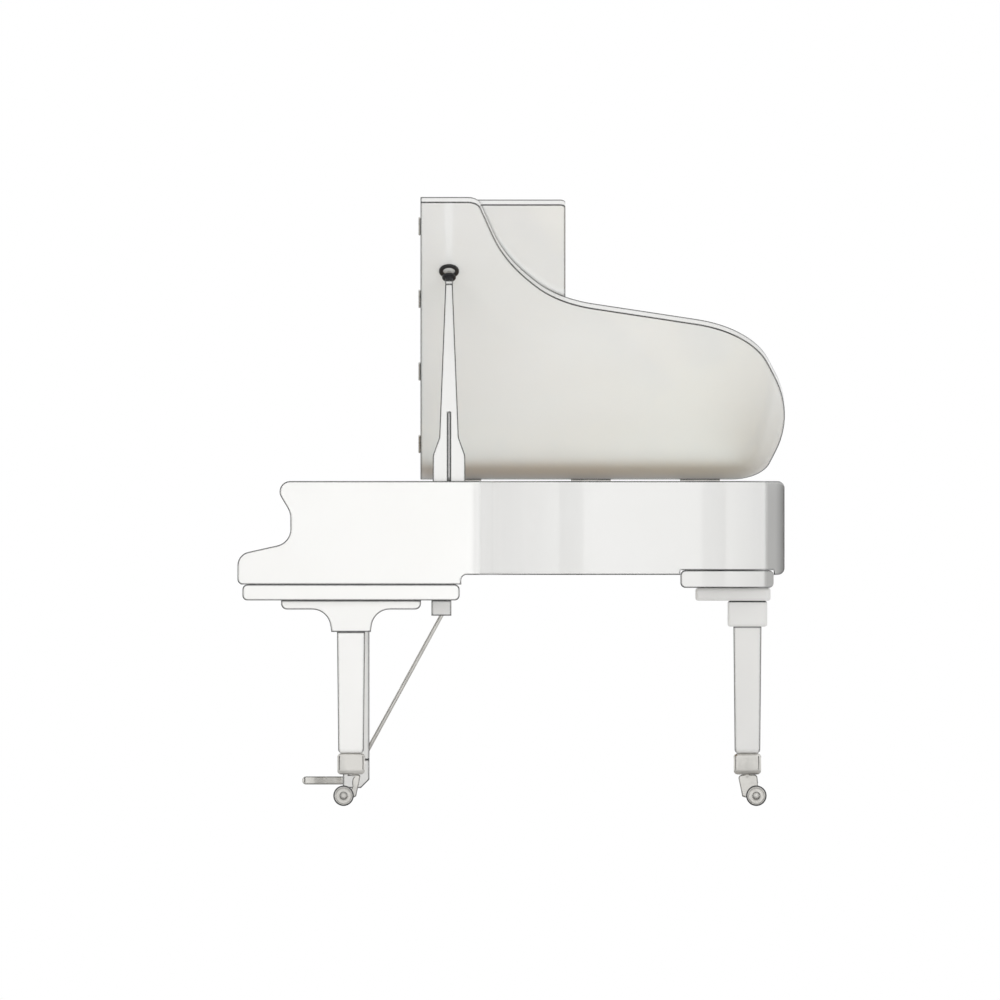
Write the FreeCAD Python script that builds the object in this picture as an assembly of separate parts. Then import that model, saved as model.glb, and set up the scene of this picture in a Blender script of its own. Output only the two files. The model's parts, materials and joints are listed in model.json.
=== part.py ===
import FreeCAD, Part
import math
import os

# Grand piano on its long lid prop. Millimetres, origin on the floor under the middle of the case.
# X runs from bass to treble, Y from the keyboard to the tail, Z up.

# Case
case_length = 1650.0
bend_setback = 122.2
rim_rise = 100.0
rim_bottom_rise = 29.0
outer_rim_thickness = 36.0
inner_rim_thickness = 45.0
tail_edge_radius = 21.0
rim_joint_gap = 0.2
# Plan outline behind the straight treble side, as shares of the half width, of the length from the start of
# the bend to the tail and, for the corner radii, of the case width
outline_x_shares = (1, 0.569, 0.27, 0.058, -0.534, -1)
outline_y_shares = (0, 0.0879, 0.2614, 0.893, 1.0335, 0.9242)
outline_radius_shares = (0.027, 0.497, 0.208, 0.207, 0.479, 0.081)
# Side profile of the arms, as setbacks from the case front and drops from the rim top
nose_setback = 103.0
nose_radius = 32.0
neck_setback = 159.5
neck_drop = 95.6
neck_radius = 60.0
shoulder_drop = 185.4
shoulder_radius = 50.0
arm_front_drop = 221.1
arm_front_radius = 42.0
arm_foot_radius = 16.0
arm_length = 675.0
arm_heel_radius = 16.0

# Keybed, belly rail and back posts
keybed_height = 620.0
keybed_thickness = 48.0
keybed_setback = 15.0
keybed_depth = 655.0
keybed_edge_radius = 15.0
belly_rail_setback = 563.0
belly_rail_thickness = 40.0
back_post_count = 3
back_post_width = 60.0
back_post_height = 80.0
back_post_drop = 28.0
back_post_spread = 190.0
back_post_start_share = -0.2
back_post_angle = 9.0

# Soundboard, bridges and iron plate
soundboard_thickness = 9.0
soundboard_fit = 0.5
rib_count = 8
rib_width = 24.0
rib_depth = 20.0
rib_pitch_share = 0.1127
rib_angle = 35.0
rib_edge_gap = 8.0
string_lift = 15.0
bass_string_rise = 22.0
bridge_width = 28.0
bass_bridge_width = 30.0
string_seat_gap = 0.1
bridge_end_overlap = 14.0
plate_stand = 6.0
plate_thickness = 12.0
plate_edge_gap = 6.0
plate_ring_width = 40.0
plate_front_inset = 3.0
plate_hitch_margin = 55.0
plate_window_margin = 120.0
plate_window_corner = 25.0
bass_window_margin = 42.0
agraffe_width = 8.0
strut_width = 6.0
strut_lift = 7.0
strut_depth = 24.0
strut_foot = 30.0
strut_note_counts = (45, 66)
strut_reach = 85.0

# Pin block and tuning pins
pin_block_depth = 133.0
pin_block_thickness = 25.0
tuning_pin_radius = 3.5
tuning_pin_rise = 34.0
tuning_pin_inset = 5.0
tuning_pin_first_row = 22.0
tuning_pin_row_pitch = 24.0
tuning_pin_rows = 4

# Scale of the strings
key_count = 88
bass_note_count = 26
treble_shortest = 52.0
treble_longest_share = 0.5455
treble_bend_share = 0.93
treble_angle_high = 3.0
treble_angle_low = 17.0
bass_shortest_share = 0.5818
bass_longest_share = 0.6545
bass_angle_high = 10.0
bass_angle_low = 13.5
strike_setback = 503.0
strike_offset = 10.0
strike_share = 0.12
treble_string_radius = 0.6
bass_string_radius = 1.7
treble_hitch_length = 75.0
bass_hitch_length = 70.0

# Keys and key frame
keyboard_width = 1226.0
white_key_count = 52
key_gap = 0.9
key_front_setback = 35.0
key_length = 485.0
key_height = 22.0
key_bottom_rise = 32.0
white_head_length = 50.0
black_key_rise = 12.0
black_key_width = 10.4
black_front_gap = 2.0
black_key_slope = 9.0
black_top_length = 95.0
balance_setback = 280.0
balance_ridge_radius = 5.0
balance_rail_width = 50.0
balance_ridge_height = 4.0
key_rest_gap = 0.3
front_rail_width = 40.0
front_rail_inset = 10.0
front_rail_drop = 11.0
back_rail_width = 36.0
frame_batten_count = 5
frame_batten_width = 45.0
frame_batten_height = 14.0
frame_end_overhang = 8.0
frame_slide_gap = 0.3
capstan_setback = 425.0
capstan_radius = 4.0
capstan_height = 12.0

# Action: whippens, hammers, dampers
whippen_pivot_setback = 485.0
whippen_pivot_rise = 30.0
whippen_length = 106.0
whippen_depth = 12.0
whippen_width = 9.0
whippen_butt = 6.0
heel_length = 16.0
heel_gap = 0.4
jack_width = 8.0
jack_gap = 0.3
hammer_pivot_setback = 373.0
hammer_pivot_rise = 61.0
hammer_reach = 67.0
hammer_rest_angle = 20.0
hammer_width = 9.0
hammer_butt = 6.0
shank_depth = 6.0
knuckle_arm = 26.0
knuckle_length = 10.0
knuckle_drop = 9.0
hammer_head_thickness = 20.0
hammer_head_tail = 8.0
hammer_shoulder = 40.0
hammer_strike_gap = 2.0
hammer_nose_width = 6.0
pivot_rod_radius = 1.2
pivot_bore_gap = 0.05
action_rail_width = 16.0
action_rail_gap = 4.0
whippen_rail_height = 20.0
whippen_rail_drop = 15.0
hammer_rail_height = 22.0
action_bracket_width = 6.0
action_bracket_gap = 2.0
damper_count = 65
damper_width = 6.0
bass_damper_width = 8.0
damper_length = 38.0
damper_height = 12.0
damper_felt_gap = 0.3
damper_setback = 525.0
damper_wire_radius = 0.6
damper_wire_gap = 0.4
damper_wire_inset = 15.0
damper_rail_rise = 112.0
damper_rail_height = 10.0
damper_rail_width = 14.0

# Key slip, key blocks, stretcher, fallboard
key_slip_setback = 10.0
key_slip_thickness = 18.0
key_slip_drop = 10.0
key_block_gap = 12.0
key_block_width = 83.7
key_block_depth = 225.0
key_block_rise = 8.0
inside_fit = 0.3
stretcher_setback = 200.0
stretcher_thickness = 35.0
stretcher_bottom_rise = 78.0
stretcher_drop = 60.0
fallboard_pivot_setback = 183.0
fallboard_pivot_drop = 208.0
fallboard_length = 175.0
fallboard_thickness = 18.0
fallboard_end_gap = 1.0
fallboard_pin_radius = 5.0
fallboard_pin_length = 12.0
pin_gap = 0.05

# Music tray and desk
tray_setback = 260.0
tray_depth = 230.0
tray_thickness = 12.0
tray_drop = 44.0
tray_end_gap = 19.0
runner_width = 30.0
runner_height = 12.0
runner_overrun = 50.0
slide_gap = 0.3
desk_width = 800.0
desk_depth = 205.0
desk_thickness = 16.0
desk_gap = 0.5
desk_pin_radius = 3.0
desk_lug_width = 14.0
desk_inset = 12.0

# Legs
front_leg_spread = 1280.0
front_leg_setback = 342.5
bracket_width = 110.0
bracket_depth = 422.0
bracket_lip_drop = 27.4
bracket_lip_radius = 18.0
bracket_neck_depth = 139.0
bracket_neck_radius = 55.0
bracket_foot_depth = 119.0
bracket_height = 95.0
leg_top_width = 84.5
leg_bottom_width = 77.0
leg_edge_radius = 12.0
cuff_bottom_height = 95.0
cuff_height = 64.0
cuff_width = 83.0
cuff_edge_radius = 12.0
rear_leg_offset = -350.0
rear_leg_setback = 112.0
rear_beam_drop = 39.0
rear_beam_height = 53.0
rear_beam_front_setback = 314.0
rear_beam_rear_setback = 33.0
rear_beam_edge_radius = 15.0
rear_beam_inset = 3.0
rear_beam_fit = 0.3
rear_block_depth = 226.0
rear_block_shift = 43.5
rear_block_width = 190.0
rear_block_height = 39.0
rear_collar_width = 119.0
rear_collar_height = 78.0
rear_block_edge_radius = 8.0

# Casters
wheel_radius = 31.0
wheel_width = 13.0
wheel_edge_radius = 3.0
horn_width = 16.0
wheel_side_gap = 0.5
axle_radius = 5.0
front_trail = 22.6
rear_trail = 27.0
stem_radius = 9.0
stem_length = 45.0
swivel_gap = 0.3
horn_top_depth = 58.0
horn_toe_depth = 14.0
horn_toe_height = 27.0
horn_boss_radius = 10.0
horn_corner_radius = 6.0

# Lyre and pedals
lyre_rear_setback = 398.0
lyre_top_width = 250.0
lyre_top_depth = 110.0
lyre_top_thickness = 32.0
lyre_post_spread = 210.0
lyre_post_width = 34.0
lyre_post_depth = 43.0
pedal_box_width = 270.0
pedal_box_depth = 80.0
pedal_box_bottom_height = 54.0
pedal_box_height = 86.0
pedal_box_chamfer = 26.0
pedal_box_wall = 12.0
pedal_pitch = 68.0
pedal_front_setback = 195.0
pedal_height = 77.0
pedal_thickness = 24.0
pedal_width = 30.0
pedal_heel_width = 20.0
pedal_slot_gap = 3.0
pedal_slot_drop = 6.0
pedal_pivot_inset = 52.0
pedal_pin_radius = 4.0
pedal_rear_gap = 4.0
rod_radius = 4.0
rod_inset = 18.0
rod_gap = 0.6
rod_hole_gap = 0.5
rod_top_inset = 8.0
brace_radius = 6.0
brace_foot_height = 178.0
brace_block_setback = 585.0
brace_block_depth = 60.0
brace_block_width = 260.0
brace_block_height = 46.0
brace_socket = 10.0

# Lid, flap and their hinges
lid_thickness = 20.0
lid_gap = 1.5
lid_open_angle = 34.1
lid_front_setback = 552.0
flap_depth = 437.0
flap_end_inset = 48.0
flap_corner_radius = 15.0
hinge_axis_offset = 6.0
hinge_knuckle_radius = 5.5
hinge_pin_radius = 3.0
hinge_leaf_thickness = 2.0
hinge_length = 120.0
hinge_knuckle_gap = 0.5
rim_leaf_drop = 32.0
lid_leaf_rise = 17.0
lid_hinge_places_shares = (0.12, 0.5, 0.82)
flap_knuckle_radius = 3.0
flap_pin_radius = 1.5
flap_leaf_thickness = 1.3
flap_leaf_depth = 24.0
flap_hinge_length = 90.0
flap_hinge_gap = 3.2
flap_hinge_places_shares = (0.08, 0.36, 0.64, 0.92)

# Lid prop, short prop, prop cup and bracket
prop_belly_gap = 35.0
prop_pivot_inset = 19.0
prop_pivot_drop = 30.0
prop_reach = 1123.0
prop_base_width = 98.0
prop_base_length = 126.0
prop_neck_width = 59.0
prop_neck_length = 195.0
prop_tip_width = 22.6
prop_thickness = 24.0
prop_neck_radius = 60.0
prop_pin_radius = 4.0
prop_tip_radius = 15.0
prop_tip_length = 40.0
prop_lid_gap = 0.5
prop_slot_width = 7.0
prop_slot_depth = 17.0
prop_slot_start = 14.0
prop_slot_end = 292.0
short_prop_gap = 0.4
short_prop_pin_radius = 2.0
short_prop_pivot = 26.0
short_prop_pivot_depth = 9.0
cup_radius = 30.0
cup_bore = 20.0
cup_depth = 18.0
bracket_plate_thickness = 6.0
bracket_plate_drop = 46.0
bracket_ear_width = 6.0
bracket_ear_gap = 0.4
bracket_ear_radius = 10.0

# One overrun serves every cut
cut_overrun = 5.0
point_tolerance = 0.001

# Counts in the keyboard's pattern; the lowest key is the tenth note of its octave
notes_per_octave = 12
naturals_per_octave = 7
first_semitone = 9
naturals_before_first = 5
natural_semitone_counts = (0, 2, 4, 5, 7, 9, 11)

# Places worked out from the sizes
V = FreeCAD.Vector
along_x = V(1, 0, 0)
along_y = V(0, 1, 0)
along_z = V(0, 0, 1)
half_keyboard = keyboard_width / 2
inside = half_keyboard + key_block_gap + key_block_width + inside_fit
half_width = inside + outer_rim_thickness
case_width = half_width * 2
front = -case_length / 2
tail = case_length / 2
inner_inset = outer_rim_thickness + rim_joint_gap + inner_rim_thickness
keybed_top = keybed_height + keybed_thickness
belly_front = front + belly_rail_setback
belly_rear = belly_front + belly_rail_thickness
key_bottom = keybed_top + key_bottom_rise
key_top = key_bottom + key_height
whippen_z = key_top + whippen_pivot_rise
hammer_z = whippen_z + hammer_pivot_rise
string_height = hammer_z + hammer_reach
plate_top = string_height - string_lift
plate_height = plate_top - plate_thickness
soundboard_top = plate_height - plate_stand
soundboard_height = soundboard_top - soundboard_thickness
rim_height = string_height + rim_rise
rim_bottom_height = keybed_top + rim_bottom_rise
rear_beam_bottom_height = rim_bottom_height - rear_beam_drop
treble_longest = case_length * treble_longest_share
bass_shortest = case_length * bass_shortest_share
bass_longest = case_length * bass_longest_share
rib_pitch = (tail - belly_rear) * rib_pitch_share
bass_height = string_height + bass_string_rise
stretcher_rear = front + stretcher_setback + stretcher_thickness
pin_block_front = stretcher_rear + rim_joint_gap
plate_front = pin_block_front + plate_front_inset
strike_y = front + strike_setback
white_pitch = keyboard_width / white_key_count
note_pitch = white_pitch * naturals_per_octave / notes_per_octave
key_front = front + key_front_setback
key_back = key_front + key_length
head_end = key_front + white_head_length
capstan_y = front + capstan_setback
whippen_y = front + whippen_pivot_setback
hammer_y = front + hammer_pivot_setback
rod_bore = pivot_rod_radius + pivot_bore_gap
rod_end = half_keyboard + action_bracket_gap
back_rail_top = key_bottom - key_rest_gap
tray_front = front + tray_setback
tray_top = rim_height - tray_drop
tray_bottom = tray_top - tray_thickness
desk_y = tray_front + desk_inset + desk_thickness / 2
desk_z = tray_top + desk_gap + desk_thickness / 2
fallboard_y = front + fallboard_pivot_setback
fallboard_z = rim_height - fallboard_pivot_drop
cuff_top = cuff_bottom_height + cuff_height
front_leg_y = front + front_leg_setback
rear_leg_y = tail - rear_leg_setback
rear_beam_top = rear_beam_bottom_height + rear_beam_height
rear_block_bottom = rear_beam_bottom_height - rear_block_height
rear_collar_bottom = rear_block_bottom - rear_collar_height
lyre_rear = front + lyre_rear_setback
lyre_top_bottom = keybed_height - lyre_top_thickness
pedal_box_top = pedal_box_bottom_height + pedal_box_height
pedal_pivot_y = lyre_rear - pedal_pivot_inset
pedal_rear = lyre_rear - pedal_box_wall - pedal_rear_gap
pedal_top = pedal_height + pedal_thickness / 2
pedal_places = (-pedal_pitch, 0, pedal_pitch)
rod_y = lyre_rear - rod_inset
rod_top = keybed_top - rod_top_inset
hinge_x = -half_width - hinge_axis_offset
hinge_z = rim_height + lid_gap / 2
lid_bottom = rim_height + lid_gap
lid_top = lid_bottom + lid_thickness
lid_front = front + lid_front_setback
flap_axis_y = lid_front - flap_hinge_gap
flap_axis_z = lid_top + flap_knuckle_radius / 2
prop_y = belly_rear + prop_belly_gap
prop_x = inside - prop_pivot_inset
prop_z = rim_height - prop_pivot_drop
caster_places = {
    "front_left": (-front_leg_spread / 2, front_leg_y, -1, front_trail),
    "front_right": (front_leg_spread / 2, front_leg_y, -1, front_trail),
    "rear": (rear_leg_offset, rear_leg_y, 1, rear_trail),
}


# Shape helpers

def box(x0, x1, y0, y1, z0, z1):
    return Part.makeBox(x1 - x0, y1 - y0, z1 - z0, V(x0, y0, z0))


def centred_box(x, y, width, depth, z0, z1):
    return box(x - width / 2, x + width / 2, y - depth / 2, y + depth / 2, z0, z1)


def rod(radius, start, end):
    return Part.makeCylinder(radius, (end - start).Length, start, end - start)


def rod_x(radius, x0, x1, y, z):
    return rod(radius, V(x0, y, z), V(x1, y, z))


def corner(before, at, after, radius):
    """Start, middle and end of the arc that rounds one corner of an outline."""
    come = (at - before).normalize()
    go = (after - at).normalize()
    half_turn = come.getAngle(go) / 2
    reach = radius * math.tan(half_turn)
    inward = (go - come).normalize()
    middle = at + inward * (radius / math.cos(half_turn) - radius)
    return at - come * reach, middle, at + go * reach


def wire(points, place):
    """Closed wire through corners of the form (a, b, radius); place sets a and b in space."""
    spots = [place(a, b) for a, b, radius in points]
    ends = []
    for n, (a, b, radius) in enumerate(points):
        if radius > 0:
            ends.append(corner(spots[n - 1], spots[n], spots[(n + 1) % len(spots)], radius))
        else:
            ends.append((spots[n], None, spots[n]))
    edges = []
    for n, (start, middle, end) in enumerate(ends):
        if middle is not None:
            edges.append(Part.Arc(start, middle, end).toShape())
        following = ends[(n + 1) % len(ends)][0]
        if end.distanceToPoint(following) > point_tolerance:
            edges.append(Part.makeLine(end, following))
    return Part.Wire(edges)


def sharp(points):
    return [(a, b, 0) for a, b in points]


def flat_prism(points, bottom, top):
    """Plan outline of (x, y, radius) corners raised from one height to another."""
    return Part.Face(wire(points, lambda x, y: V(x, y, bottom))).extrude(along_z * (top - bottom))


def side_prism(points, left, right, bore=None):
    """Side outline of (y, z, radius) corners drawn out along X, with an optional (y, z, radius) bore."""
    wires = [wire(points, lambda y, z: V(left, y, z))]
    if bore:
        y, z, radius = bore
        wires.append(Part.Wire(Part.makeCircle(radius, V(left, y, z), along_x)))
    return Part.Face(wires, "Part::FaceMakerBullseye").extrude(along_x * (right - left))


def slab(y0, y1, z0, z1, radius):
    return [(y0, z0, radius), (y1, z0, radius), (y1, z1, radius), (y0, z1, radius)]


def outline():
    """Plan outline of the case, from the treble front corner round the tail to the bass front corner."""
    start = belly_rear + bend_setback
    shares = zip(outline_x_shares, outline_y_shares, outline_radius_shares)
    bent = [(x * half_width, start + y * (tail - start), radius * case_width) for x, y, radius in shares]
    return [(half_width, front, 0)] + bent + [(-half_width, front, 0)]


def inset(points, depth):
    """The same outline moved inward; hollow corners gain radius and bulging ones lose it."""
    spots = [V(x, y, 0) for x, y, radius in points]
    moved = []
    for n, (x, y, radius) in enumerate(points):
        come = (spots[n] - spots[n - 1]).normalize()
        go = (spots[(n + 1) % len(spots)] - spots[n]).normalize()
        first = along_z.cross(come)
        second = along_z.cross(go)
        spot = spots[n] + (first + second) * (depth / (1 + first.dot(second)))
        bulging = come.cross(go).z > 0
        moved.append((spot.x, spot.y, max(radius - depth, 0) if bulging else radius + depth))
    return moved


def room(depth, bottom, top, near, far):
    """Space inside the case outline moved inward by a depth, open at the keyboard end."""
    points = inset(outline(), depth)
    points[0] = (points[0][0], front - cut_overrun, 0)
    points[-1] = (points[-1][0], front - cut_overrun, 0)
    limits = box(-half_width, half_width, near, far, bottom, top)
    return flat_prism(points, bottom, top).common(limits)


def ribbon(points, width):
    """Plan outline of a strip of one width along a line of points."""
    left = []
    right = []
    for n, point in enumerate(points):
        ahead = points[min(n + 1, len(points) - 1)]
        behind = points[max(n - 1, 0)]
        across = along_z.cross(ahead - behind).normalize() * (width / 2)
        left.append((point.x + across.x, point.y + across.y))
        right.append((point.x - across.x, point.y - across.y))
    return sharp(left + right[::-1])


def stretched(points, reach):
    """The line of points with both ends carried on by a reach."""
    first = (points[0] - points[1]).normalize() * reach
    last = (points[-1] - points[-2]).normalize() * reach
    return [points[0] + first] + points[1:-1] + [points[-1] + last]


def joined(shapes):
    return shapes[0].multiFuse(shapes[1:]).removeSplitter()


def turned(shape, centre, axis, degrees):
    copy = shape.copy()
    copy.rotate(centre, axis, degrees)
    return copy


def rounded_box(x, y, width, depth, z0, z1, radius):
    block = centred_box(x, y, width, depth, z0, z1)
    return block.makeFillet(radius, block.Edges)


# Case

def case_profile():
    """Side outline of the case: tail, rim top, nose and neck of the arms, arm front and heel."""
    return [
        (tail, rim_height, tail_edge_radius),
        (front + nose_setback, rim_height, nose_radius),
        (front + neck_setback, rim_height - neck_drop, neck_radius),
        (front + neck_setback, rim_height - shoulder_drop, shoulder_radius),
        (front, rim_height - arm_front_drop, arm_front_radius),
        (front, keybed_top, arm_foot_radius),
        (front + arm_length, keybed_top, 0),
        (front + arm_length, rim_bottom_height, arm_heel_radius),
        (tail, rim_bottom_height, tail_edge_radius),
    ]


def rear_beam_notch():
    y0 = tail - rear_beam_front_setback - rear_beam_fit
    y1 = tail - rear_beam_rear_setback + rear_beam_fit
    return box(-half_width, half_width, y0, y1, rear_beam_bottom_height, rear_beam_top)


def outer_rim():
    band = flat_prism(outline(), keybed_top, rim_height)
    band = band.cut(room(outer_rim_thickness, keybed_top, rim_height, front - cut_overrun, tail))
    band = band.common(side_prism(case_profile(), -half_width, half_width))
    reach = inside + fallboard_pin_length
    pins = rod_x(fallboard_pin_radius + pin_gap, -reach, reach, fallboard_y, fallboard_z)
    return band.cut(rear_beam_notch()).cut(pins)


def inner_rim():
    wall = room(outer_rim_thickness + rim_joint_gap, rim_bottom_height, soundboard_height, belly_rear, tail)
    hollow = room(inner_inset, rim_bottom_height, soundboard_height, belly_rear, tail)
    return wall.cut(hollow).cut(rear_beam_notch())


def keybed():
    y0 = front + keybed_setback
    profile = slab(y0, y0 + keybed_depth, keybed_height, keybed_top, keybed_edge_radius)
    board = side_prism(profile, -half_width, half_width)
    holes = [pedal_rod_hole(x) for x in pedal_places]
    return board.cut(Part.makeCompound(holes))


def belly_rail():
    side = inside - inside_fit
    return box(-side, side, belly_front, belly_rear, keybed_top, soundboard_height)


def back_posts():
    top = soundboard_height - back_post_drop
    space = room(inner_inset, top - back_post_height, top, belly_rear, tail)
    posts = []
    for n in range(back_post_count):
        place = n - (back_post_count - 1) / 2
        x = back_post_start_share * half_width + place * back_post_spread
        post = box(x - back_post_width / 2, x + back_post_width / 2, belly_front, tail + case_length,
                   top - back_post_height, top)
        posts.append(turned(post, V(x, belly_rear, 0), along_z, -place * back_post_angle).common(space))
    return Part.makeCompound(posts)


def soundboard():
    return room(outer_rim_thickness + soundboard_fit, soundboard_height, soundboard_top, belly_front, tail)


def soundboard_ribs():
    bottom = soundboard_height - rib_depth
    space = room(inner_inset + rib_edge_gap, bottom, soundboard_height, belly_rear + rib_edge_gap, tail)
    ribs = []
    for n in range(rib_count):
        y = belly_rear + (n + 1) * rib_pitch
        rib = centred_box(0, y, case_length, rib_width, bottom, soundboard_height)
        ribs.append(turned(rib, V(0, y, 0), along_z, -rib_angle).common(space))
    return Part.makeCompound(ribs)


def stretcher():
    side = inside - inside_fit
    y0 = front + stretcher_setback
    bottom = keybed_top + stretcher_bottom_rise
    return box(-side, side, y0, stretcher_rear, bottom, rim_height - stretcher_drop)


def key_slip():
    side = inside - inside_fit
    y0 = front + key_slip_setback
    return box(-side, side, y0, y0 + key_slip_thickness, keybed_top, key_top - key_slip_drop)


def key_blocks():
    y0 = front + key_slip_setback + key_slip_thickness + rim_joint_gap
    near = half_keyboard + key_block_gap
    far = inside - inside_fit
    top = key_top + key_block_rise
    blocks = [box(x0, x1, y0, y0 + key_block_depth, keybed_top, top) for x0, x1 in ((-far, -near), (near, far))]
    return Part.makeCompound(blocks)


def pin_block():
    side = inside - inside_fit
    rear = pin_block_front + pin_block_depth
    block = box(-side, side, pin_block_front, rear, plate_height - pin_block_thickness, plate_height)
    return block.cut(tuning_pins())


# Strings and what carries them

def note_x(note):
    start = -half_keyboard - naturals_before_first * white_pitch
    return start + (first_semitone + note + 0.5) * note_pitch


def is_bass(note):
    return note < bass_note_count


def scale(note):
    """Speaking length of a note's string and its turn to the bass side, in degrees."""
    if is_bass(note):
        low = (bass_note_count - 1 - note) / (bass_note_count - 1)
        length = bass_shortest + (bass_longest - bass_shortest) * low
        return length, -bass_angle_high - (bass_angle_low - bass_angle_high) * low
    low = (key_count - 1 - note) / (key_count - 1 - bass_note_count)
    bend = low * (1 - treble_bend_share + treble_bend_share * low)
    length = treble_shortest + (treble_longest - treble_shortest) * bend
    return length, treble_angle_high + (treble_angle_low - treble_angle_high) * low


def string_height_of(note):
    return bass_height if is_bass(note) else string_height


def string_radius_of(note):
    return bass_string_radius if is_bass(note) else treble_string_radius


def string_way(note):
    turn = math.radians(scale(note)[1])
    return V(-math.sin(turn), math.cos(turn), 0)


def agraffe_distance(note):
    return strike_offset + strike_share * scale(note)[0]


def string_point(note, reach):
    """Point on a note's string, at a reach behind the agraffe."""
    strike = V(note_x(note), strike_y, string_height_of(note))
    return strike + string_way(note) * (reach - agraffe_distance(note))


def bridge_point(note, beyond=0):
    return string_point(note, scale(note)[0] + beyond)


def string_at(note, y):
    """Point where a note's string passes a place along the case."""
    strike = V(note_x(note), strike_y, string_height_of(note))
    way = string_way(note)
    return strike + way * ((y - strike_y) / way.y)


def pin_row_y(note):
    return pin_block_front + tuning_pin_first_row + (note % tuning_pin_rows) * tuning_pin_row_pitch


def string(note):
    beyond = bass_hitch_length if is_bass(note) else treble_hitch_length
    return rod(string_radius_of(note), string_at(note, pin_row_y(note)), bridge_point(note, beyond))


def strings(notes):
    return Part.makeCompound([string(note) for note in notes])


def tuning_pins():
    bottom = plate_height - pin_block_thickness + tuning_pin_inset
    top = string_height + tuning_pin_rise
    pins = []
    for note in range(key_count):
        y = pin_row_y(note)
        side = tuning_pin_radius + string_radius_of(note) + string_seat_gap
        x = string_at(note, y).x + side
        pins.append(rod(tuning_pin_radius, V(x, y, bottom), V(x, y, top)))
    return Part.makeCompound(pins)


def seat_height(note):
    return string_height_of(note) - string_radius_of(note) - string_seat_gap


def bridge(first, last, samples, width):
    step = (last - first) / (samples - 1)
    points = [bridge_point(round(first + step * n)) for n in range(samples)]
    strip = ribbon(stretched(points, bridge_end_overlap), width)
    return flat_prism(strip, soundboard_top, seat_height(first))


def bridges():
    long_bridge = bridge(bass_note_count, key_count - 1, naturals_per_octave, bridge_width)
    bass_bridge = bridge(0, bass_note_count - 1, 2, bass_bridge_width)
    return Part.makeCompound([long_bridge, bass_bridge])


def agraffe_bar(notes):
    points = [string_point(note, 0) for note in notes]
    strip = ribbon(stretched(points, agraffe_width), agraffe_width)
    return flat_prism(strip, plate_top, seat_height(notes[0]))


def treble_window():
    """Opening of the plate behind the agraffes, closed by the hitch edge behind the long bridge."""
    first_treble = bass_note_count
    last = key_count - 1
    middle = round((first_treble + last) / 2)
    edge = V(0, agraffe_width / 2, 0)
    near = [string_point(note, 0) + edge for note in (first_treble, middle, last)]
    bass = string_point(0, 0) + edge
    step = (last - first_treble) / naturals_per_octave
    samples = [last - round(n * step) for n in range(naturals_per_octave)]
    far = [bridge_point(note, plate_hitch_margin) for note in samples + [first_treble]]
    points = [(-half_keyboard, bass.y)] + [(p.x, p.y) for p in near[:-1]]
    points += [(half_keyboard, near[-1].y), (half_keyboard, far[0].y)]
    points += [(p.x, p.y) for p in far]
    points.append((-half_keyboard, far[-1].y - plate_window_margin))
    return sharp(points)


def bass_window():
    points = [bridge_point(0), bridge_point(bass_note_count - 1)]
    width = bass_bridge_width + bass_window_margin * 2
    strip = ribbon(stretched(points, bass_window_margin), width)
    return [(x, y, plate_window_corner) for x, y, radius in strip]


def strut(note):
    """Arched bar over the strings in the gap above a note, with a foot on the plate at each end."""
    start = (string_point(note, 0) + string_point(note + 1, 0)) * 0.5
    end = (bridge_point(note, strut_reach) + bridge_point(note + 1, strut_reach)) * 0.5
    way = end - start
    y0 = start.y - agraffe_width - strut_foot
    y1 = start.y + way.Length
    under = string_height + strut_lift
    profile = [
        (y0, plate_top), (y0 + strut_foot, plate_top), (y0 + strut_foot, under), (y1 - strut_foot, under),
        (y1 - strut_foot, plate_top), (y1, plate_top), (y1, under + strut_depth), (y0, under + strut_depth),
    ]
    bar = side_prism(sharp(profile), start.x - strut_width / 2, start.x + strut_width / 2)
    return turned(bar, start, along_z, math.degrees(math.atan2(-way.x, way.y)))


def iron_plate():
    edge = outer_rim_thickness + plate_edge_gap
    sheet = room(edge, plate_height, plate_top, plate_front, tail)
    sheet = sheet.cut(flat_prism(treble_window(), plate_height, plate_top))
    sheet = sheet.cut(flat_prism(bass_window(), plate_height, plate_top))
    ring = room(edge, soundboard_top, plate_height, belly_rear, tail)
    ring = ring.cut(room(edge + plate_ring_width, soundboard_top, plate_height, belly_rear, tail))
    middle = round((bass_note_count + key_count) / 2)
    bars = [
        agraffe_bar((0, bass_note_count - 1)),
        agraffe_bar((bass_note_count, middle, key_count - 1)),
    ]
    bars += [strut(note) for note in strut_note_counts]
    return joined([sheet, ring] + bars).cut(tuning_pins())


# Keys and action

def semitone(note):
    return (note + first_semitone) % notes_per_octave


def is_white(note):
    return semitone(note) in natural_semitone_counts


def notes_of(white):
    return [note for note in range(key_count) if is_white(note) == white]


def capstan(note):
    foot = V(note_x(note), capstan_y, key_top)
    return rod(capstan_radius, foot, foot + along_z * capstan_height)


def white_key(note):
    octave = (note + first_semitone) // notes_per_octave
    place = natural_semitone_counts.index(semitone(note))
    natural = octave * naturals_per_octave - naturals_before_first + place
    x0 = -half_keyboard + natural * white_pitch + key_gap / 2
    x1 = x0 + white_pitch - key_gap
    tail0 = max(x0, note_x(note) - (note_pitch - key_gap) / 2)
    tail1 = min(x1, note_x(note) + (note_pitch - key_gap) / 2)
    points = [
        (x0, key_front), (x1, key_front), (x1, head_end), (tail1, head_end),
        (tail1, key_back), (tail0, key_back), (tail0, head_end), (x0, head_end),
    ]
    points = [point for n, point in enumerate(points) if point != points[n - 1]]
    return flat_prism(sharp(points), key_bottom, key_top).fuse(capstan(note))


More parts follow.
